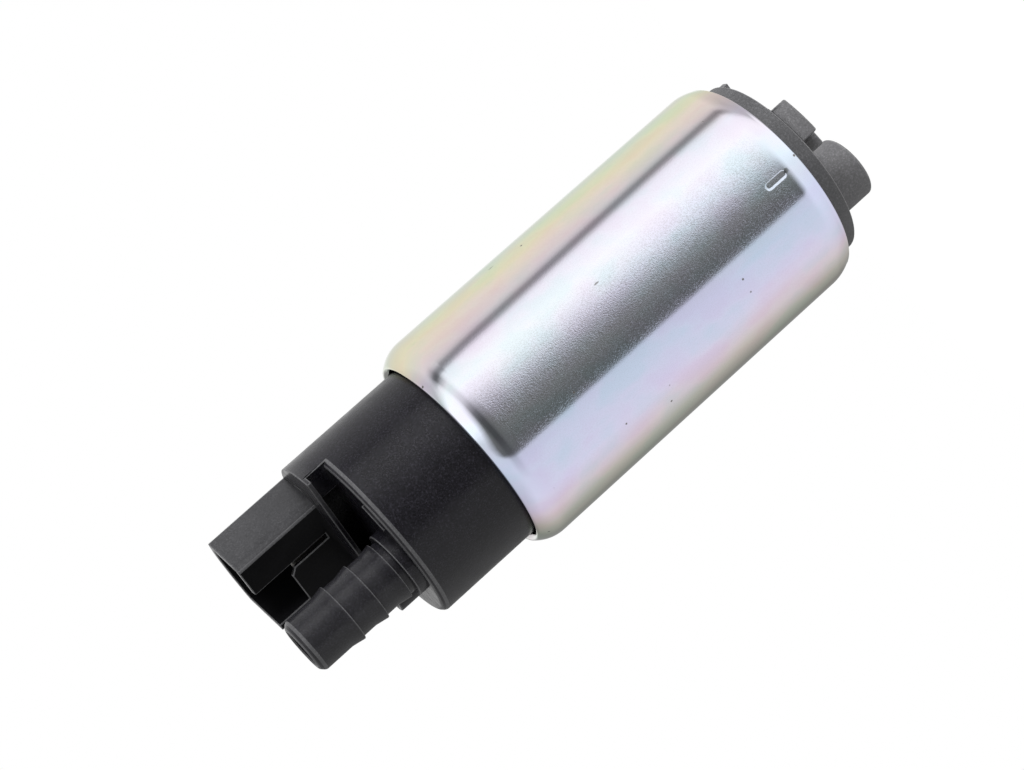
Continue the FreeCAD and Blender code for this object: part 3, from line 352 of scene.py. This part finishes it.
def passivated_steel():
    """Zinc plated sheet with its passivation, grainy and uneven on a worn stripe, and dull marks."""
    tree, shader = material("case_steel", (0.76, 0.76, 0.78), 1.0, 0.09)
    share, height = azimuth_share(tree, object_position(tree))
    rubbed_and_lit = rubbed_stripe(tree, share, height)
    marks = pits_and_ticks(tree)
    grain = ramp(tree, noise(tree, 4600, 1.0), [(0.34, (0.78, 0.76, 0.73)), (0.60, WHITE)])
    clean = tinted(tree, passivation(tree, share), blend(tree, rubbed_and_lit, WHITE, grain))
    tree.links.new(blend(tree, marks, clean, (0.22, 0.21, 0.20)), shader.inputs["Base Color"])
    fine = noise(tree, 6500, 0.0)
    dull = ramp(tree, fine, [(0.34, 0.06), (0.48, 0.09), (0.72, 0.28)])
    polish = blend(tree, rubbed_and_lit, (0.085, 0.085, 0.085), dull)
    tree.links.new(blend(tree, marks, polish, (0.45, 0.45, 0.45)), shader.inputs["Roughness"])
    relief = calculate(tree, "MULTIPLY", calculate(tree, "ADD", fine, -0.5), rubbed_and_lit)
    bump(tree, shader, relief, 0.013 * MM)
    bump(tree, shader, noise(tree, 2600, 1.0, (1, 1, 0.05)), 0.0012 * MM)
    bump(tree, shader, noise(tree, 60, 2.0, (1, 1, 0.3)), 0.02 * MM, 0.5)


def speckled(tree, colour, grain_scale, fibres=1.9):
    """A colour with slow clouds and with grain that is paler by a factor, where fibres show."""
    grain = ramp(tree, noise(tree, grain_scale * 1.6, 3.0, roughness=0.7), [
        (0.34, tuple(part / math.sqrt(fibres) for part in colour)),
        (0.54, colour),
        (0.76, tuple(part * fibres for part in colour)),
    ])
    cloud = ramp(tree, noise(tree, 170, 3.0), [(0.3, (0.86, 0.86, 0.87)), (0.7, (1.12, 1.12, 1.13))])
    return tinted(tree, grain, cloud)


def moulded_plastic(name, colour, roughness, grain_scale=2200, grain_depth=0.02, gloss=0.5,
                    fibres=1.9, recolour=None):
    """Glass filled moulded plastic: fine pale grain, cloudy sheen and slightly uneven colour."""
    tree, shader = material(name, colour, 0.0, roughness)
    shader.inputs["Specular IOR Level"].default_value = gloss
    tint = speckled(tree, colour, grain_scale, fibres)
    if recolour:
        tint = recolour(tree, tint)
    tree.links.new(tint, shader.inputs["Base Color"])
    sheen = ramp(tree, noise(tree, 420, 3.0), [(0.3, roughness - 0.05), (0.7, roughness + 0.07)])
    tree.links.new(sheen, shader.inputs["Roughness"])
    bump(tree, shader, noise(tree, grain_scale, 2.0), grain_depth * MM, 0.6)


def painted_light_on_ends(tree, dark):
    """The outlet cover's colour with painted light: paler on the nipple and on the shroud's near side,
    which the light falls on.
    """
    x, y, z = axes_of(tree, object_position(tree, turn=(0, 0, -PLUG_ANGLE)))
    above_plate = between(tree, z, 52 * MM, 56 * MM)
    shroud_side = between(tree, y, -7 * MM, -8.2 * MM)
    nipple = between(tree, x, -4.1 * MM, -4.5 * MM, top=0.30)
    # Painted light: the nipple and the shroud's near side above the plate get a paler colour.
    rubbed_and_lit = calculate(tree, "MAXIMUM", shroud_side, nipple)
    share = calculate(tree, "MULTIPLY", rubbed_and_lit, above_plate)
    return blend(tree, share, dark, speckled(tree, (0.034, 0.034, 0.036), 2600))


def painted_shade_on_disc(tree, free):
    """The inlet cover's colour with painted shade: darker on the disc, which sits recessed under the
    case's rolled rim.
    """
    height = axes_of(tree, object_position(tree))[2]
    # Painted shade: the disc above this level gets a darker colour.
    level = between(tree, height, -36.4 * MM, -35.6 * MM)
    return blend(tree, level, free, speckled(tree, (0.055, 0.055, 0.058), 2000))


def worked_metal(name, colour, roughness, stretch=(1, 1, 1)):
    """Metal with fine tool marks."""
    tree, shader = material(name, colour, 1.0, roughness)
    marks = noise(tree, 900, 2.0, stretch)
    paler = tuple(min(1.0, part * 1.15) for part in colour)
    tree.links.new(ramp(tree, marks, [(0.35, colour), (0.7, paler)]), shader.inputs["Base Color"])
    bump(tree, shader, marks, 0.006 * MM, 0.5)


def laminated_steel():
    """Stacked sheets seen from their edges, each one a little brighter or darker."""
    tree, shader = material("core_steel", (0.40, 0.40, 0.42), 1.0, 0.38)
    sheets = noise(tree, 900, 2.0, (0.04, 0.04, 2.2))
    tree.links.new(ramp(tree, sheets, [(0.3, (0.27, 0.26, 0.26)), (0.7, (0.52, 0.52, 0.54))]),
                   shader.inputs["Base Color"])
    seams = add_node(tree, "TexWave", {"Scale": HALF_MILLIMETRE_WAVES}, bands_direction="Z")
    tree.links.new(object_position(tree), seams.inputs["Vector"])
    bump(tree, shader, seams.outputs["Fac"], 0.04 * MM, 0.7)


passivated_steel()
# The black cover carries painted light, paler on its nipple and on the shroud's side.
moulded_plastic("cover_black", (0.0082, 0.0078, 0.0102), 0.25, grain_depth=0.03, gloss=0.26,
                fibres=3.4, recolour=painted_light_on_ends)
# Painted highlight: the covers' rounded edges take a paler colour, as if catching light.
moulded_plastic("cover_black_edge", (0.060, 0.060, 0.063), 0.36, grain_scale=2600)
# Painted shade for the socket inside the shroud: darker and duller than the cover.
moulded_plastic("cover_black_deep", (0.0036, 0.0036, 0.0041), 0.4, gloss=0.05)
moulded_plastic("cover_grey", (0.092, 0.091, 0.095), 0.45, grain_scale=2000, grain_depth=0.03,
                gloss=0.6, recolour=painted_shade_on_disc)
# Painted highlight on the grey cover's rounded edges.
moulded_plastic("cover_grey_edge", (0.125, 0.124, 0.128), 0.42, grain_scale=2600)
moulded_plastic("valve_plastic", (0.62, 0.60, 0.53), 0.4, fibres=1.1)
moulded_plastic("holder_plastic", (0.05, 0.05, 0.055), 0.5)
moulded_plastic("body_plastic", (0.06, 0.06, 0.065), 0.5)
moulded_plastic("impeller_plastic", (0.12, 0.06, 0.03), 0.4)
moulded_plastic("brush_carbon", (0.04, 0.04, 0.043), 0.45, grain_scale=3500)
moulded_plastic("ferrite", (0.07, 0.07, 0.075), 0.55, grain_scale=3500)
moulded_plastic("magnet_ferrite", (0.06, 0.06, 0.065), 0.5, grain_scale=3500)
worked_metal("spring_steel", (0.62, 0.62, 0.63), 0.25)
worked_metal("turned_brass", (0.78, 0.58, 0.28), 0.25, stretch=(1, 1, 8))
worked_metal("tinned_brass", (0.74, 0.73, 0.68), 0.3, stretch=(1, 1, 0.1))
worked_metal("copper_wire", (0.72, 0.32, 0.14), 0.3, stretch=(1, 1, 6))
worked_metal("sintered_bronze", (0.50, 0.36, 0.20), 0.5)
worked_metal("shaft_steel", (0.68, 0.68, 0.70), 0.15, stretch=(1, 1, 10))
worked_metal("commutator_copper", (0.76, 0.40, 0.20), 0.28)
laminated_steel()


# Pieces over the CAD nodes

BASE_FINISH = 0
# Finish of painted highlight on the covers' rounded edges.
PAINTED_HIGHLIGHT_FINISH = 1
# Finish of painted shade inside the outlet cover's socket.
PAINTED_SHADE_FINISH = 2
WELD = 0.002 * MM
FLAT_ANGLE = math.radians(0.5)
SHARP_ANGLE = math.radians(30)


def give_material(piece, *names):
    """Materials in the order of a piece's finishes."""
    held = piece.data.materials
    if len(held):
        held.clear()
    for name in names:
        held.append(MATERIALS[name])


def add_piece(name, mesh, node, *names):
    """A piece that stands for a CAD node and rides on its body; its first material is its slot."""
    piece = bpy.data.objects.new(name, mesh)
    bpy.context.scene.collection.objects.link(piece)
    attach(piece, nodes[node]["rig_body"])
    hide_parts(node)
    give_material(piece, *names)
    return piece


def softened(node, names, edge_width, widest, finish=None):
    """A CAD node's copy with rounded edges, each as many millimetres wide as its place asks for."""
    made = bmesh.new()
    made.from_mesh(nodes[node].data)
    bmesh.ops.remove_doubles(made, verts=made.verts, dist=WELD)
    bmesh.ops.dissolve_limit(made, angle_limit=FLAT_ANGLE, verts=made.verts, edges=made.edges)
    weight = made.edges.layers.float.new("bevel_weight_edge")
    for face in made.faces:
        face.smooth = True
        if finish:
            face.material_index = finish(face.calc_center_median() / MM)
    for edge in made.edges:
        if edge.calc_face_angle(0.0) > SHARP_ANGLE:
            middle = (edge.verts[0].co + edge.verts[1].co) / 2
            width = edge_width(middle / MM) if edge.is_convex else 0.0
            edge[weight] = min(1.0, width / widest)
            edge.smooth = width > 0.0
    name = node + "_skin"
    piece = add_piece(name, finished(name, made), node, *names)
    bevel = piece.modifiers.new("soft_edges", "BEVEL")
    bevel.width = widest * MM
    bevel.segments = 3
    bevel.limit_method = "WEIGHT"
    bevel.use_clamp_overlap = False
    bevel.harden_normals = True
    # The bevels of the covers take the painted highlight finish.
    if len(names) > 1:
        bevel.material = PAINTED_HIGHLIGHT_FINISH
    normals = piece.modifiers.new("flat_faces", "WEIGHTED_NORMAL")
    normals.keep_sharp = True


for node, slot in SLOTS.items():
    give_material(nodes[node], slot)


# Case: smooth rolled ends and one stake mark

case_low, case_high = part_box("pump_case")
CASE_RADIUS = case_high.x
CASE_WALL = 1.3 * MM
OUTLET_DROP = 1.8 * MM
OUTLET_ROLL = 4.35 * MM
INLET_DROP = 0.7 * MM
INLET_ROLL = 3.0 * MM
LIP_WIDTH = 0.85 * MM
LIP_HEIGHT = 0.55 * MM
LIP_BORE = 16.6 * MM
EDGE_ROUND = 0.25 * MM
EDGE_DEGREES = 1.5

STAKE_X = -0.95 * MM
STAKE_Z = case_low.z + 5.45 * MM
STAKE_HALF = 1.4 * MM
STAKE_RADIUS = 0.72 * MM
STAKE_DEPTH = 0.18 * MM
STAKE_DEPTH_TILT = 0.05 * MM
STAKE_SLOPE = 0.34 * MM
STAKE_SLOPE_TILT = 0.18 * MM

# The wall's mesh is finer over the stake mark
MARK_REACH = 2.3 * MM
MARK_REACH_ROUND = math.radians(2.9)
MARK_ROWS = 56
MARK_COLUMNS = 48
WALL_ROWS = 12
WALL_COLUMNS = 180
LIP_STEPS = 6
INLET_STEPS = 8
OUTLET_STEPS = 12
INNER_STEPS = 8


def roll_curve(drop, length):
    """Radius and sweep in degrees of a roll that loses some radius over a length."""
    radius = (drop ** 2 + length ** 2) / (2 * drop)
    return radius, math.degrees(math.asin(length / radius))


def case_profile():
    """The sheet's section, from the inlet lip's inner edge round the outside and back inside."""
    inlet_curve, inlet_sweep = roll_curve(INLET_DROP, INLET_ROLL)
    outlet_curve, outlet_sweep = roll_curve(OUTLET_DROP, OUTLET_ROLL)
    lip_end = case_low.z + LIP_HEIGHT
    wall_start = lip_end + INLET_ROLL
    wall_end = case_high.z - OUTLET_ROLL
    mark_end = STAKE_Z + MARK_REACH
    inner_level = case_low.z + CASE_WALL
    inlet_centre = (CASE_RADIUS - inlet_curve, wall_start)
    outlet_centre = (CASE_RADIUS - outlet_curve, wall_end)
    shoulder = CASE_RADIUS - INLET_DROP
    points = [(LIP_BORE, case_low.z + EDGE_ROUND), (LIP_BORE + EDGE_ROUND, case_low.z)]
    for step in range(LIP_STEPS + 1):
        angle = math.radians(90 * step / LIP_STEPS)
        points.append((shoulder - LIP_WIDTH * (1 - math.sin(angle)),
                       lip_end - LIP_HEIGHT * math.cos(angle)))
    points += arc_points(inlet_centre, inlet_curve, -inlet_sweep, 0, INLET_STEPS)[1:]
    points += [(CASE_RADIUS, height) for height in even_steps(wall_start, mark_end, MARK_ROWS)]
    points += [(CASE_RADIUS, height) for height in even_steps(mark_end, wall_end, WALL_ROWS)[:-1]]
    points += arc_points(outlet_centre, outlet_curve, 0, outlet_sweep - EDGE_DEGREES, OUTLET_STEPS)
    points.append(on_circle(outlet_centre, outlet_curve - EDGE_ROUND, outlet_sweep))
    points += arc_points(outlet_centre, outlet_curve - CASE_WALL, outlet_sweep, 0, INNER_STEPS)
    points += [(CASE_RADIUS - CASE_WALL, inner_level), (LIP_BORE, inner_level)]
    return points


def case_azimuths():
    """Even steps round the case, with finer ones over the stake mark."""
    middle = math.asin(STAKE_X / CASE_RADIUS)
    start = middle - MARK_REACH_ROUND
    end = middle + MARK_REACH_ROUND
    fine = even_steps(start, end, MARK_COLUMNS)
    return fine + even_steps(end, start + 2 * math.pi, WALL_COLUMNS)


def stake_depth(azimuth, height):
    """Depth of the stake mark at a point of the wall: its punch struck a little from one side."""
    if math.cos(azimuth) < 0:
        return 0.0
    across = CASE_RADIUS * math.sin(azimuth) - STAKE_X
    along = max(0.0, abs(height - STAKE_Z) - STAKE_HALF)
    side = clamp(across / STAKE_RADIUS, -1.0, 1.0)
    slope = STAKE_SLOPE - STAKE_SLOPE_TILT * side
    share = clamp((STAKE_RADIUS - math.hypot(across, along)) / slope, 0.0, 1.0)
    return (STAKE_DEPTH - STAKE_DEPTH_TILT * side) * share * share * (3 - 2 * share)


add_piece("case_shell", lathe("case_shell", case_profile(), case_azimuths(), stake_depth),
          "pump_case", "case_steel")


# Covers with soft edges, told by levels and distances in millimetres

CASE_LIP = case_high.z / MM
NECK_FACE = CASE_LIP + 17.7
GATE_TOP = NECK_FACE + 0.35
PLATE_TOP = NECK_FACE + 3.95
SHROUD_TOP = PLATE_TOP + 15.15
SOCKET_FRONT = -4.3
SOCKET_NEAR = -7.7
SOCKET_FAR = 6.1
SOCKET_CURVE = 15.7
DISC_FACE = -CASE_LIP - 2.85
DISC_RIM = 16.4
PORT_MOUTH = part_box("inlet_cover")[0].z / MM
KEY_START = 10
WIDE_EDGE = 0.3
DISC_EDGE = 0.2
USUAL_EDGE = 0.17
FINE_EDGE = 0.15
GATE_EDGE = 0.12


def outlet_edge(place):
    """Width of an outlet cover's edge: wide on the neck's rim, the shroud's corners and the nipple."""
    corner_middle = (PLATE_TOP + SHROUD_TOP) / 2
    if place.z < NECK_FACE - 1.5:
        return 0.0
    if place.z < NECK_FACE + 0.05:
        return WIDE_EDGE
    if place.z < GATE_TOP + 0.2:
        return GATE_EDGE
    if place.z > SHROUD_TOP + 0.01 or abs(place.z - corner_middle) < 0.15:
        return WIDE_EDGE
    return USUAL_EDGE


def plug_local(place):
    """A place in the plug's own axes: x away from the nipple, y towards the far side."""
    return (place.x * math.cos(PLUG_ANGLE) + place.y * math.sin(PLUG_ANGLE),
            place.y * math.cos(PLUG_ANGLE) - place.x * math.sin(PLUG_ANGLE))


def outlet_finish(place):
    """Painted shade: the socket, its tongue and the shroud's front take a darker, duller finish, where
    shade falls inside the shroud.
    """
    x, y = plug_local(place)
    inside = (PLATE_TOP + 0.1 < place.z < SHROUD_TOP - 0.05 and x > SOCKET_FRONT
              and SOCKET_NEAR < y < SOCKET_FAR and math.hypot(x, y) < SOCKET_CURVE)
    return PAINTED_SHADE_FINISH if inside else BASE_FINISH


def inlet_edge(place):
    """Width of an inlet cover's edge: wide on lug and web, finer on the port's mouth and the key."""
    if place.z > -CASE_LIP - 0.15:
        return 0.0
    if place.z > DISC_FACE - 0.1:
        return DISC_EDGE if math.hypot(place.x, place.y) > DISC_RIM - 0.4 else 0.0
    fine = place.z < PORT_MOUTH + 0.5 or place.x >= KEY_START
    return FINE_EDGE if fine else WIDE_EDGE


softened("outlet_cover", ("cover_black", "cover_black_edge", "cover_black_deep"), outlet_edge,
         WIDE_EDGE, outlet_finish)
softened("inlet_cover", ("cover_grey", "cover_grey_edge"), inlet_edge, WIDE_EDGE)


# Rigid inner pieces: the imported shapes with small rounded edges, in millimetres

SMALL_EDGES = {
    "check_valve_plunger": 0.15, "check_valve_cage": 0.12, "relief_valve_poppet": 0.15,
    "relief_valve_plug": 0.10, "brush_holder": 0.15, "positive_terminal": 0.10,
    "negative_terminal": 0.10, "positive_brush": 0.12, "negative_brush": 0.12, "upper_bush": 0.20,
    "lower_bush": 0.20, "rotor_shaft": 0.20, "commutator": 0.10, "armature_core": 0.08,
    "magnet_north": 0.25, "magnet_south": 0.25, "magnet_clip": 0.10, "pump_body": 0.12,
    "impeller": 0.06,
}
for node, slot in SLOTS.items():
    if node in SMALL_EDGES:
        softened(node, (slot,), lambda place: SMALL_EDGES[node], SMALL_EDGES[node])


# Springs and leads of round wire, which ride on the piece below them

FLAT_TURNS = 0.7
LEAD_STRANDS = 3
LEAD_TURNS = 2.5
LEAD_STEPS = 20
STRAND_RADIUS = 0.165 * MM
TWIST_RADIUS = 0.17 * MM


def middle_of(node):
    """The middle of a node's box, its lowest level and its highest."""
    low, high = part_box(node)
    return (low + high) / 2, low.z, high.z


def shorten(piece):
    """Gives a piece its own copy of its mesh."""
    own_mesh(piece)


def coil_spring(node, coil_radius, wire, turns):
    """A spring with flat ends; its radius is the mean one."""
    centre, low, high = middle_of(node)
    name = node + "_coils"
    path = helix(centre, low + wire / 2, high - low - wire, coil_radius, turns, FLAT_TURNS)
    shorten(add_piece(name, wires(name, [path], wire / 2), node, "spring_steel"))


def brush_lead(node):
    """Strands twisted round each other."""
    centre, low, high = middle_of(node)
    name = node + "_strands"
    strands = [helix(centre, low, high - low, TWIST_RADIUS, LEAD_TURNS,
                     start=2 * math.pi * strand / LEAD_STRANDS, steps=LEAD_STEPS)
               for strand in range(LEAD_STRANDS)]
    shorten(add_piece(name, wires(name, strands, STRAND_RADIUS), node, "copper_wire"))


coil_spring("check_valve_spring", coil_radius=1.6 * MM, wire=0.4 * MM, turns=3.75)
coil_spring("relief_valve_spring", coil_radius=1.2 * MM, wire=0.32 * MM, turns=5.25)
for pole in POLES:
    coil_spring(pole + "_brush_spring", coil_radius=1.85 * MM, wire=0.5 * MM, turns=3.25)
    brush_lead(pole + "_brush_lead")


# Chokes: enamelled wire wound on ferrite rods

ROD_RADIUS = 1.7 * MM
ROD_CHAMFER = 0.3 * MM
ROD_STEPS = 32
CHOKE_WIRE = 0.95 * MM
CHOKE_TURNS = 9.5
CHOKE_INSET = 0.05 * MM


def rod_mesh(name, centre, low, high):
    """A chamfered rod with its ends at two levels."""
    face_radius = ROD_RADIUS - ROD_CHAMFER
    profile = [(0.0, low), (face_radius, low), (ROD_RADIUS, low + ROD_CHAMFER),
               (ROD_RADIUS, high - ROD_CHAMFER), (face_radius, high), (0.0, high)]
    made = bmesh.new()
    rim = [made.verts.new((centre.x + radius, centre.y, height)) for radius, height in profile]
    line = [made.edges.new(pair) for pair in zip(rim, rim[1:])]
    bmesh.ops.spin(made, geom=rim + line, cent=centre, axis=(0, 0, 1), angle=2 * math.pi,
                   steps=ROD_STEPS)
    bmesh.ops.remove_doubles(made, verts=made.verts, dist=0.001 * MM)
    bmesh.ops.recalc_face_normals(made, faces=made.faces)
    return finished(name, made)


def choke(node):
    """A rod and its winding, which share one CAD node."""
    centre, low, high = middle_of(node)
    rod_name = node + "_rod"
    winding_name = node + "_winding"
    coil_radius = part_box(node)[1].x - centre.x - CHOKE_WIRE / 2 - CHOKE_INSET
    path = helix(centre, low + CHOKE_WIRE / 2, high - low - CHOKE_WIRE, coil_radius, CHOKE_TURNS)
    add_piece(rod_name, rod_mesh(rod_name, centre, low, high), node, "ferrite")
    add_piece(winding_name, wires(winding_name, [path], CHOKE_WIRE / 2), node, "copper_wire")


for pole in POLES:
    choke(pole + "_choke")


# Armature winding: each coil lies in two slots and crosses the others at both ends

CORE_SLOTS = 8
COIL_SPAN = 3
COIL_STRANDS = 7
COIL_WIRE = 0.84 * MM
COIL_PITCH = 0.87 * MM
COIL_INNER = 5.0 * MM
SLOT_SIDE = 0.6 * MM
SLOT_SPREAD = 0.13
COIL_DIP = 0.10
COIL_STEPS = 16
CORE_GAP = 0.1 * MM
END_GAP = 0.05 * MM


def winding_paths():
    """A closed path for each strand: over the core's outlet end, down, back under it and up."""
    core_low, core_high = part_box("armature_core")
    top_of_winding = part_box("armature_winding")[1].z
    start = COIL_WIRE / 2 + CORE_GAP
    climb = top_of_winding - core_high.z - start - COIL_WIRE / 2 - END_GAP
    paths = []
    for coil in range(CORE_SLOTS):
        first = 2 * math.pi * coil / CORE_SLOTS
        for strand in range(COIL_STRANDS):
            radius = COIL_INNER + COIL_PITCH * strand
            aside = math.asin((SLOT_SIDE + SLOT_SPREAD * (radius - COIL_INNER)) / radius)
            sweep = 2 * math.pi * COIL_SPAN / CORE_SLOTS - 2 * aside
            top = []
            bottom = []
            for step in range(COIL_STEPS + 1):
                share = step / COIL_STEPS
                angle = first + aside + sweep * share
                reach = radius * (1 - COIL_DIP * math.sin(math.pi * share))
                level = start + climb * share
                top.append((reach * math.cos(angle), reach * math.sin(angle), core_high.z + level))
                bottom.append((reach * math.cos(angle), reach * math.sin(angle), core_low.z - level))
            paths.append(top + bottom[::-1])
    return paths


add_piece("armature_coils",
          wires("armature_coils", winding_paths(), COIL_WIRE / 2, closed=True, detail=1),
          "armature_winding", "copper_wire")


# Camera at the photograph's viewing angle

def add_camera():
    """The pose that lays the case's circles over the photograph's; its angles are in radians."""
    pan = 0.007
    tilt = -0.204
    roll = -2.299
    place = Vector((0, -373.963, 96.812)) * MM
    focal_pixels = 2500
    image_width = 1024
    ahead = Vector((math.sin(pan) * math.cos(tilt), math.cos(pan) * math.cos(tilt), math.sin(tilt)))
    right = ahead.cross(Vector((0, 0, 1))).normalized()
    above = right.cross(ahead)
    across = math.cos(roll) * right + math.sin(roll) * above
    upward = math.cos(roll) * above - math.sin(roll) * right
    data = bpy.data.cameras.new("camera")
    data.sensor_width = 36
    data.lens = focal_pixels * data.sensor_width / image_width
    data.clip_start = 0.01
    data.clip_end = 20
    camera = bpy.data.objects.new("camera", data)
    turn = Matrix((across, upward, -ahead)).transposed().to_4x4()
    camera.matrix_world = Matrix.Translation(place) @ turn
    bpy.context.scene.collection.objects.link(camera)
    bpy.context.scene.camera = camera


# Studio: white to the camera, soft panels and darker gaps to everything else

def seen_by_camera(tree):
    """1 for a ray from the camera, 0 for one that lights a surface or mirrors in it."""
    path = add_node(tree, "LightPath")
    return calculate(tree, "MAXIMUM", path.outputs["Is Camera Ray"], path.outputs["Is Transmission Ray"])


def panels_round(tree, share, height):
    """Panels round the horizon with darker gaps between them, which lean aside as they rise."""
    lean = azimuth_ramp(tree, share, [
        (-24, 0.5), (2, 1.0), (30, 1.0), (50, 0.5), (72, 0.21), (94, 0.21), (112, 0.5),
    ])
    rise = between(tree, height, -0.31, -0.12, top=2.0)
    shift = calculate(tree, "MULTIPLY", calculate(tree, "ADD", lean, -0.5), rise)
    place = calculate(tree, "MULTIPLY_ADD", shift, -20 / 360, share)
    return azimuth_ramp(tree, place, [
        (-180, 0.70),
        (-166, 0.26),
        (-152, 0.26),
        (-135, 0.42),
        (-110, 0.74),
        (-86, 0.85),
        (-50, 0.81),
        (-36, 0.76),
        (-32, (0.142, 0.140, 0.126)),
        (-22, (0.164, 0.162, 0.145)),
        (-11, (0.245, 0.242, 0.222)),
        (0, 0.42),
        (12, 0.90),
        (24, 1.13),
        (37, 1.22),
        (50, 1.24),
        (62, 1.18),
        (73, 1.12),
        (77.5, 0.98),
        (81.5, 0.46),
        (84.5, 0.28),
        (88, 0.34),
        (91, 0.64),
        (96, 0.79),
        (112, 0.86),
        (158, 0.76),
        (172, 0.94),
        (180, 0.80),
    ])


def table_below(tree, share):
    """The table that reflections from below see, brightest ahead of the pump towards +X."""
    return azimuth_ramp(tree, share, [
        (-180, 0.60),
        (-140, 0.60),
        (-95, 0.82),
        (-60, 0.90),
        (-28, 0.95),
        (-4, 1.02),
        (12, 1.18),
        (60, 1.20),
        (72, 1.10),
        (84, 0.62),
        (104, 0.56),
        (135, 0.66),
        (180, 0.60),
    ])


def gap_above(tree, share, height):
    """How much of a dark gap lies between the panels and the ceiling."""
    level = ramp(tree, height, [(0.0, 0.0), (0.10, 0.3), (0.22, 1.0), (0.40, 1.0), (0.55, 0.0)])
    shaded = azimuth_ramp(tree, share, [
        (-62, 0.0), (-40, 0.2), (-12, 0.72), (12, 0.72), (34, 0.30), (58, 0.18), (70, 0.72), (88, 0.0),
    ])
    return calculate(tree, "MULTIPLY", level, shaded)


def ceiling_over(tree, share, height, studio):
    """The studio under its ceiling light, which starts higher ahead of the pump towards -X."""
    ceiling = azimuth_ramp(tree, share, [
        (-150, 0.50), (-60, 0.78), (-12, 0.80), (10, 1.25), (58, 1.25), (80, 0.60), (120, 0.70),
    ])
    sill = azimuth_ramp(tree, share, [(-75, 0.0), (-45, 0.16), (-22, 0.24), (8, 0.09), (40, 0.0)])
    overhead = between(tree, calculate(tree, "SUBTRACT", height, sill), 0.38, 0.64)
    return blend(tree, overhead, studio, ceiling)


def add_world():
    """White to the camera; light and reflections see table, panels, gap and ceiling."""
    world = bpy.data.worlds.new("studio")
    bpy.context.scene.world = world
    world.use_nodes = True
    tree = world.node_tree
    shader = tree.nodes["Background"]
    share, height = azimuth_share(tree, add_node(tree, "TexCoord").outputs["Generated"])
    below = between(tree, height, -0.38, -0.62)
    studio = blend(tree, below, panels_round(tree, share, height), table_below(tree, share))
    studio = blend(tree, gap_above(tree, share, height), studio, (0.04, 0.04, 0.04))
    studio = ceiling_over(tree, share, height, studio)
    tree.links.new(blend(tree, seen_by_camera(tree), studio, WHITE), shader.inputs["Color"])
    shader.inputs["Strength"].default_value = 1.0


def add_floor():
    """A pale round floor, white to the camera; the steel mirrors the studio's panels instead."""
    level = -260 * MM
    radius = 620 * MM
    glow_share = 0.8
    made = bmesh.new()
    bmesh.ops.create_circle(made, cap_ends=True, radius=radius, segments=96)
    floor = bpy.data.objects.new("floor", finished("floor", made))
    floor.location.z = level
    bpy.context.scene.collection.objects.link(floor)
    floor.visible_glossy = False
    tree, shader = material("pale_floor", (0.85, 0.85, 0.85), 0.0, 0.7)
    shader.inputs["Specular IOR Level"].default_value = 0.0
    glow = add_node(tree, "Emission", {"Strength": 1.09})
    mixed = add_node(tree, "MixShader")
    tree.links.new(calculate(tree, "MULTIPLY", seen_by_camera(tree), glow_share), mixed.inputs["Fac"])
    tree.links.new(shader.outputs["BSDF"], mixed.inputs[1])
    tree.links.new(glow.outputs["Emission"], mixed.inputs[2])
    tree.links.new(mixed.outputs["Shader"], tree.nodes["Material Output"].inputs["Surface"])
    give_material(floor, "pale_floor")


def add_lamp(name, place, energy, size):
    """A soft square lamp that faces the origin."""
    data = bpy.data.lights.new(name, "AREA")
    data.energy = energy
    data.size = size
    lamp = bpy.data.objects.new(name, data)
    lamp.location = Vector(place)
    lamp.rotation_mode = "QUATERNION"
    lamp.rotation_quaternion = (-lamp.location).to_track_quat("-Z", "Y")
    lamp.visible_glossy = False
    bpy.context.scene.collection.objects.link(lamp)


add_camera()
add_world()
add_floor()
add_lamp("key", (0.51, -0.46, 0.02), energy=6.0, size=0.35)
bpy.context.scene.view_settings.view_transform = "Standard"
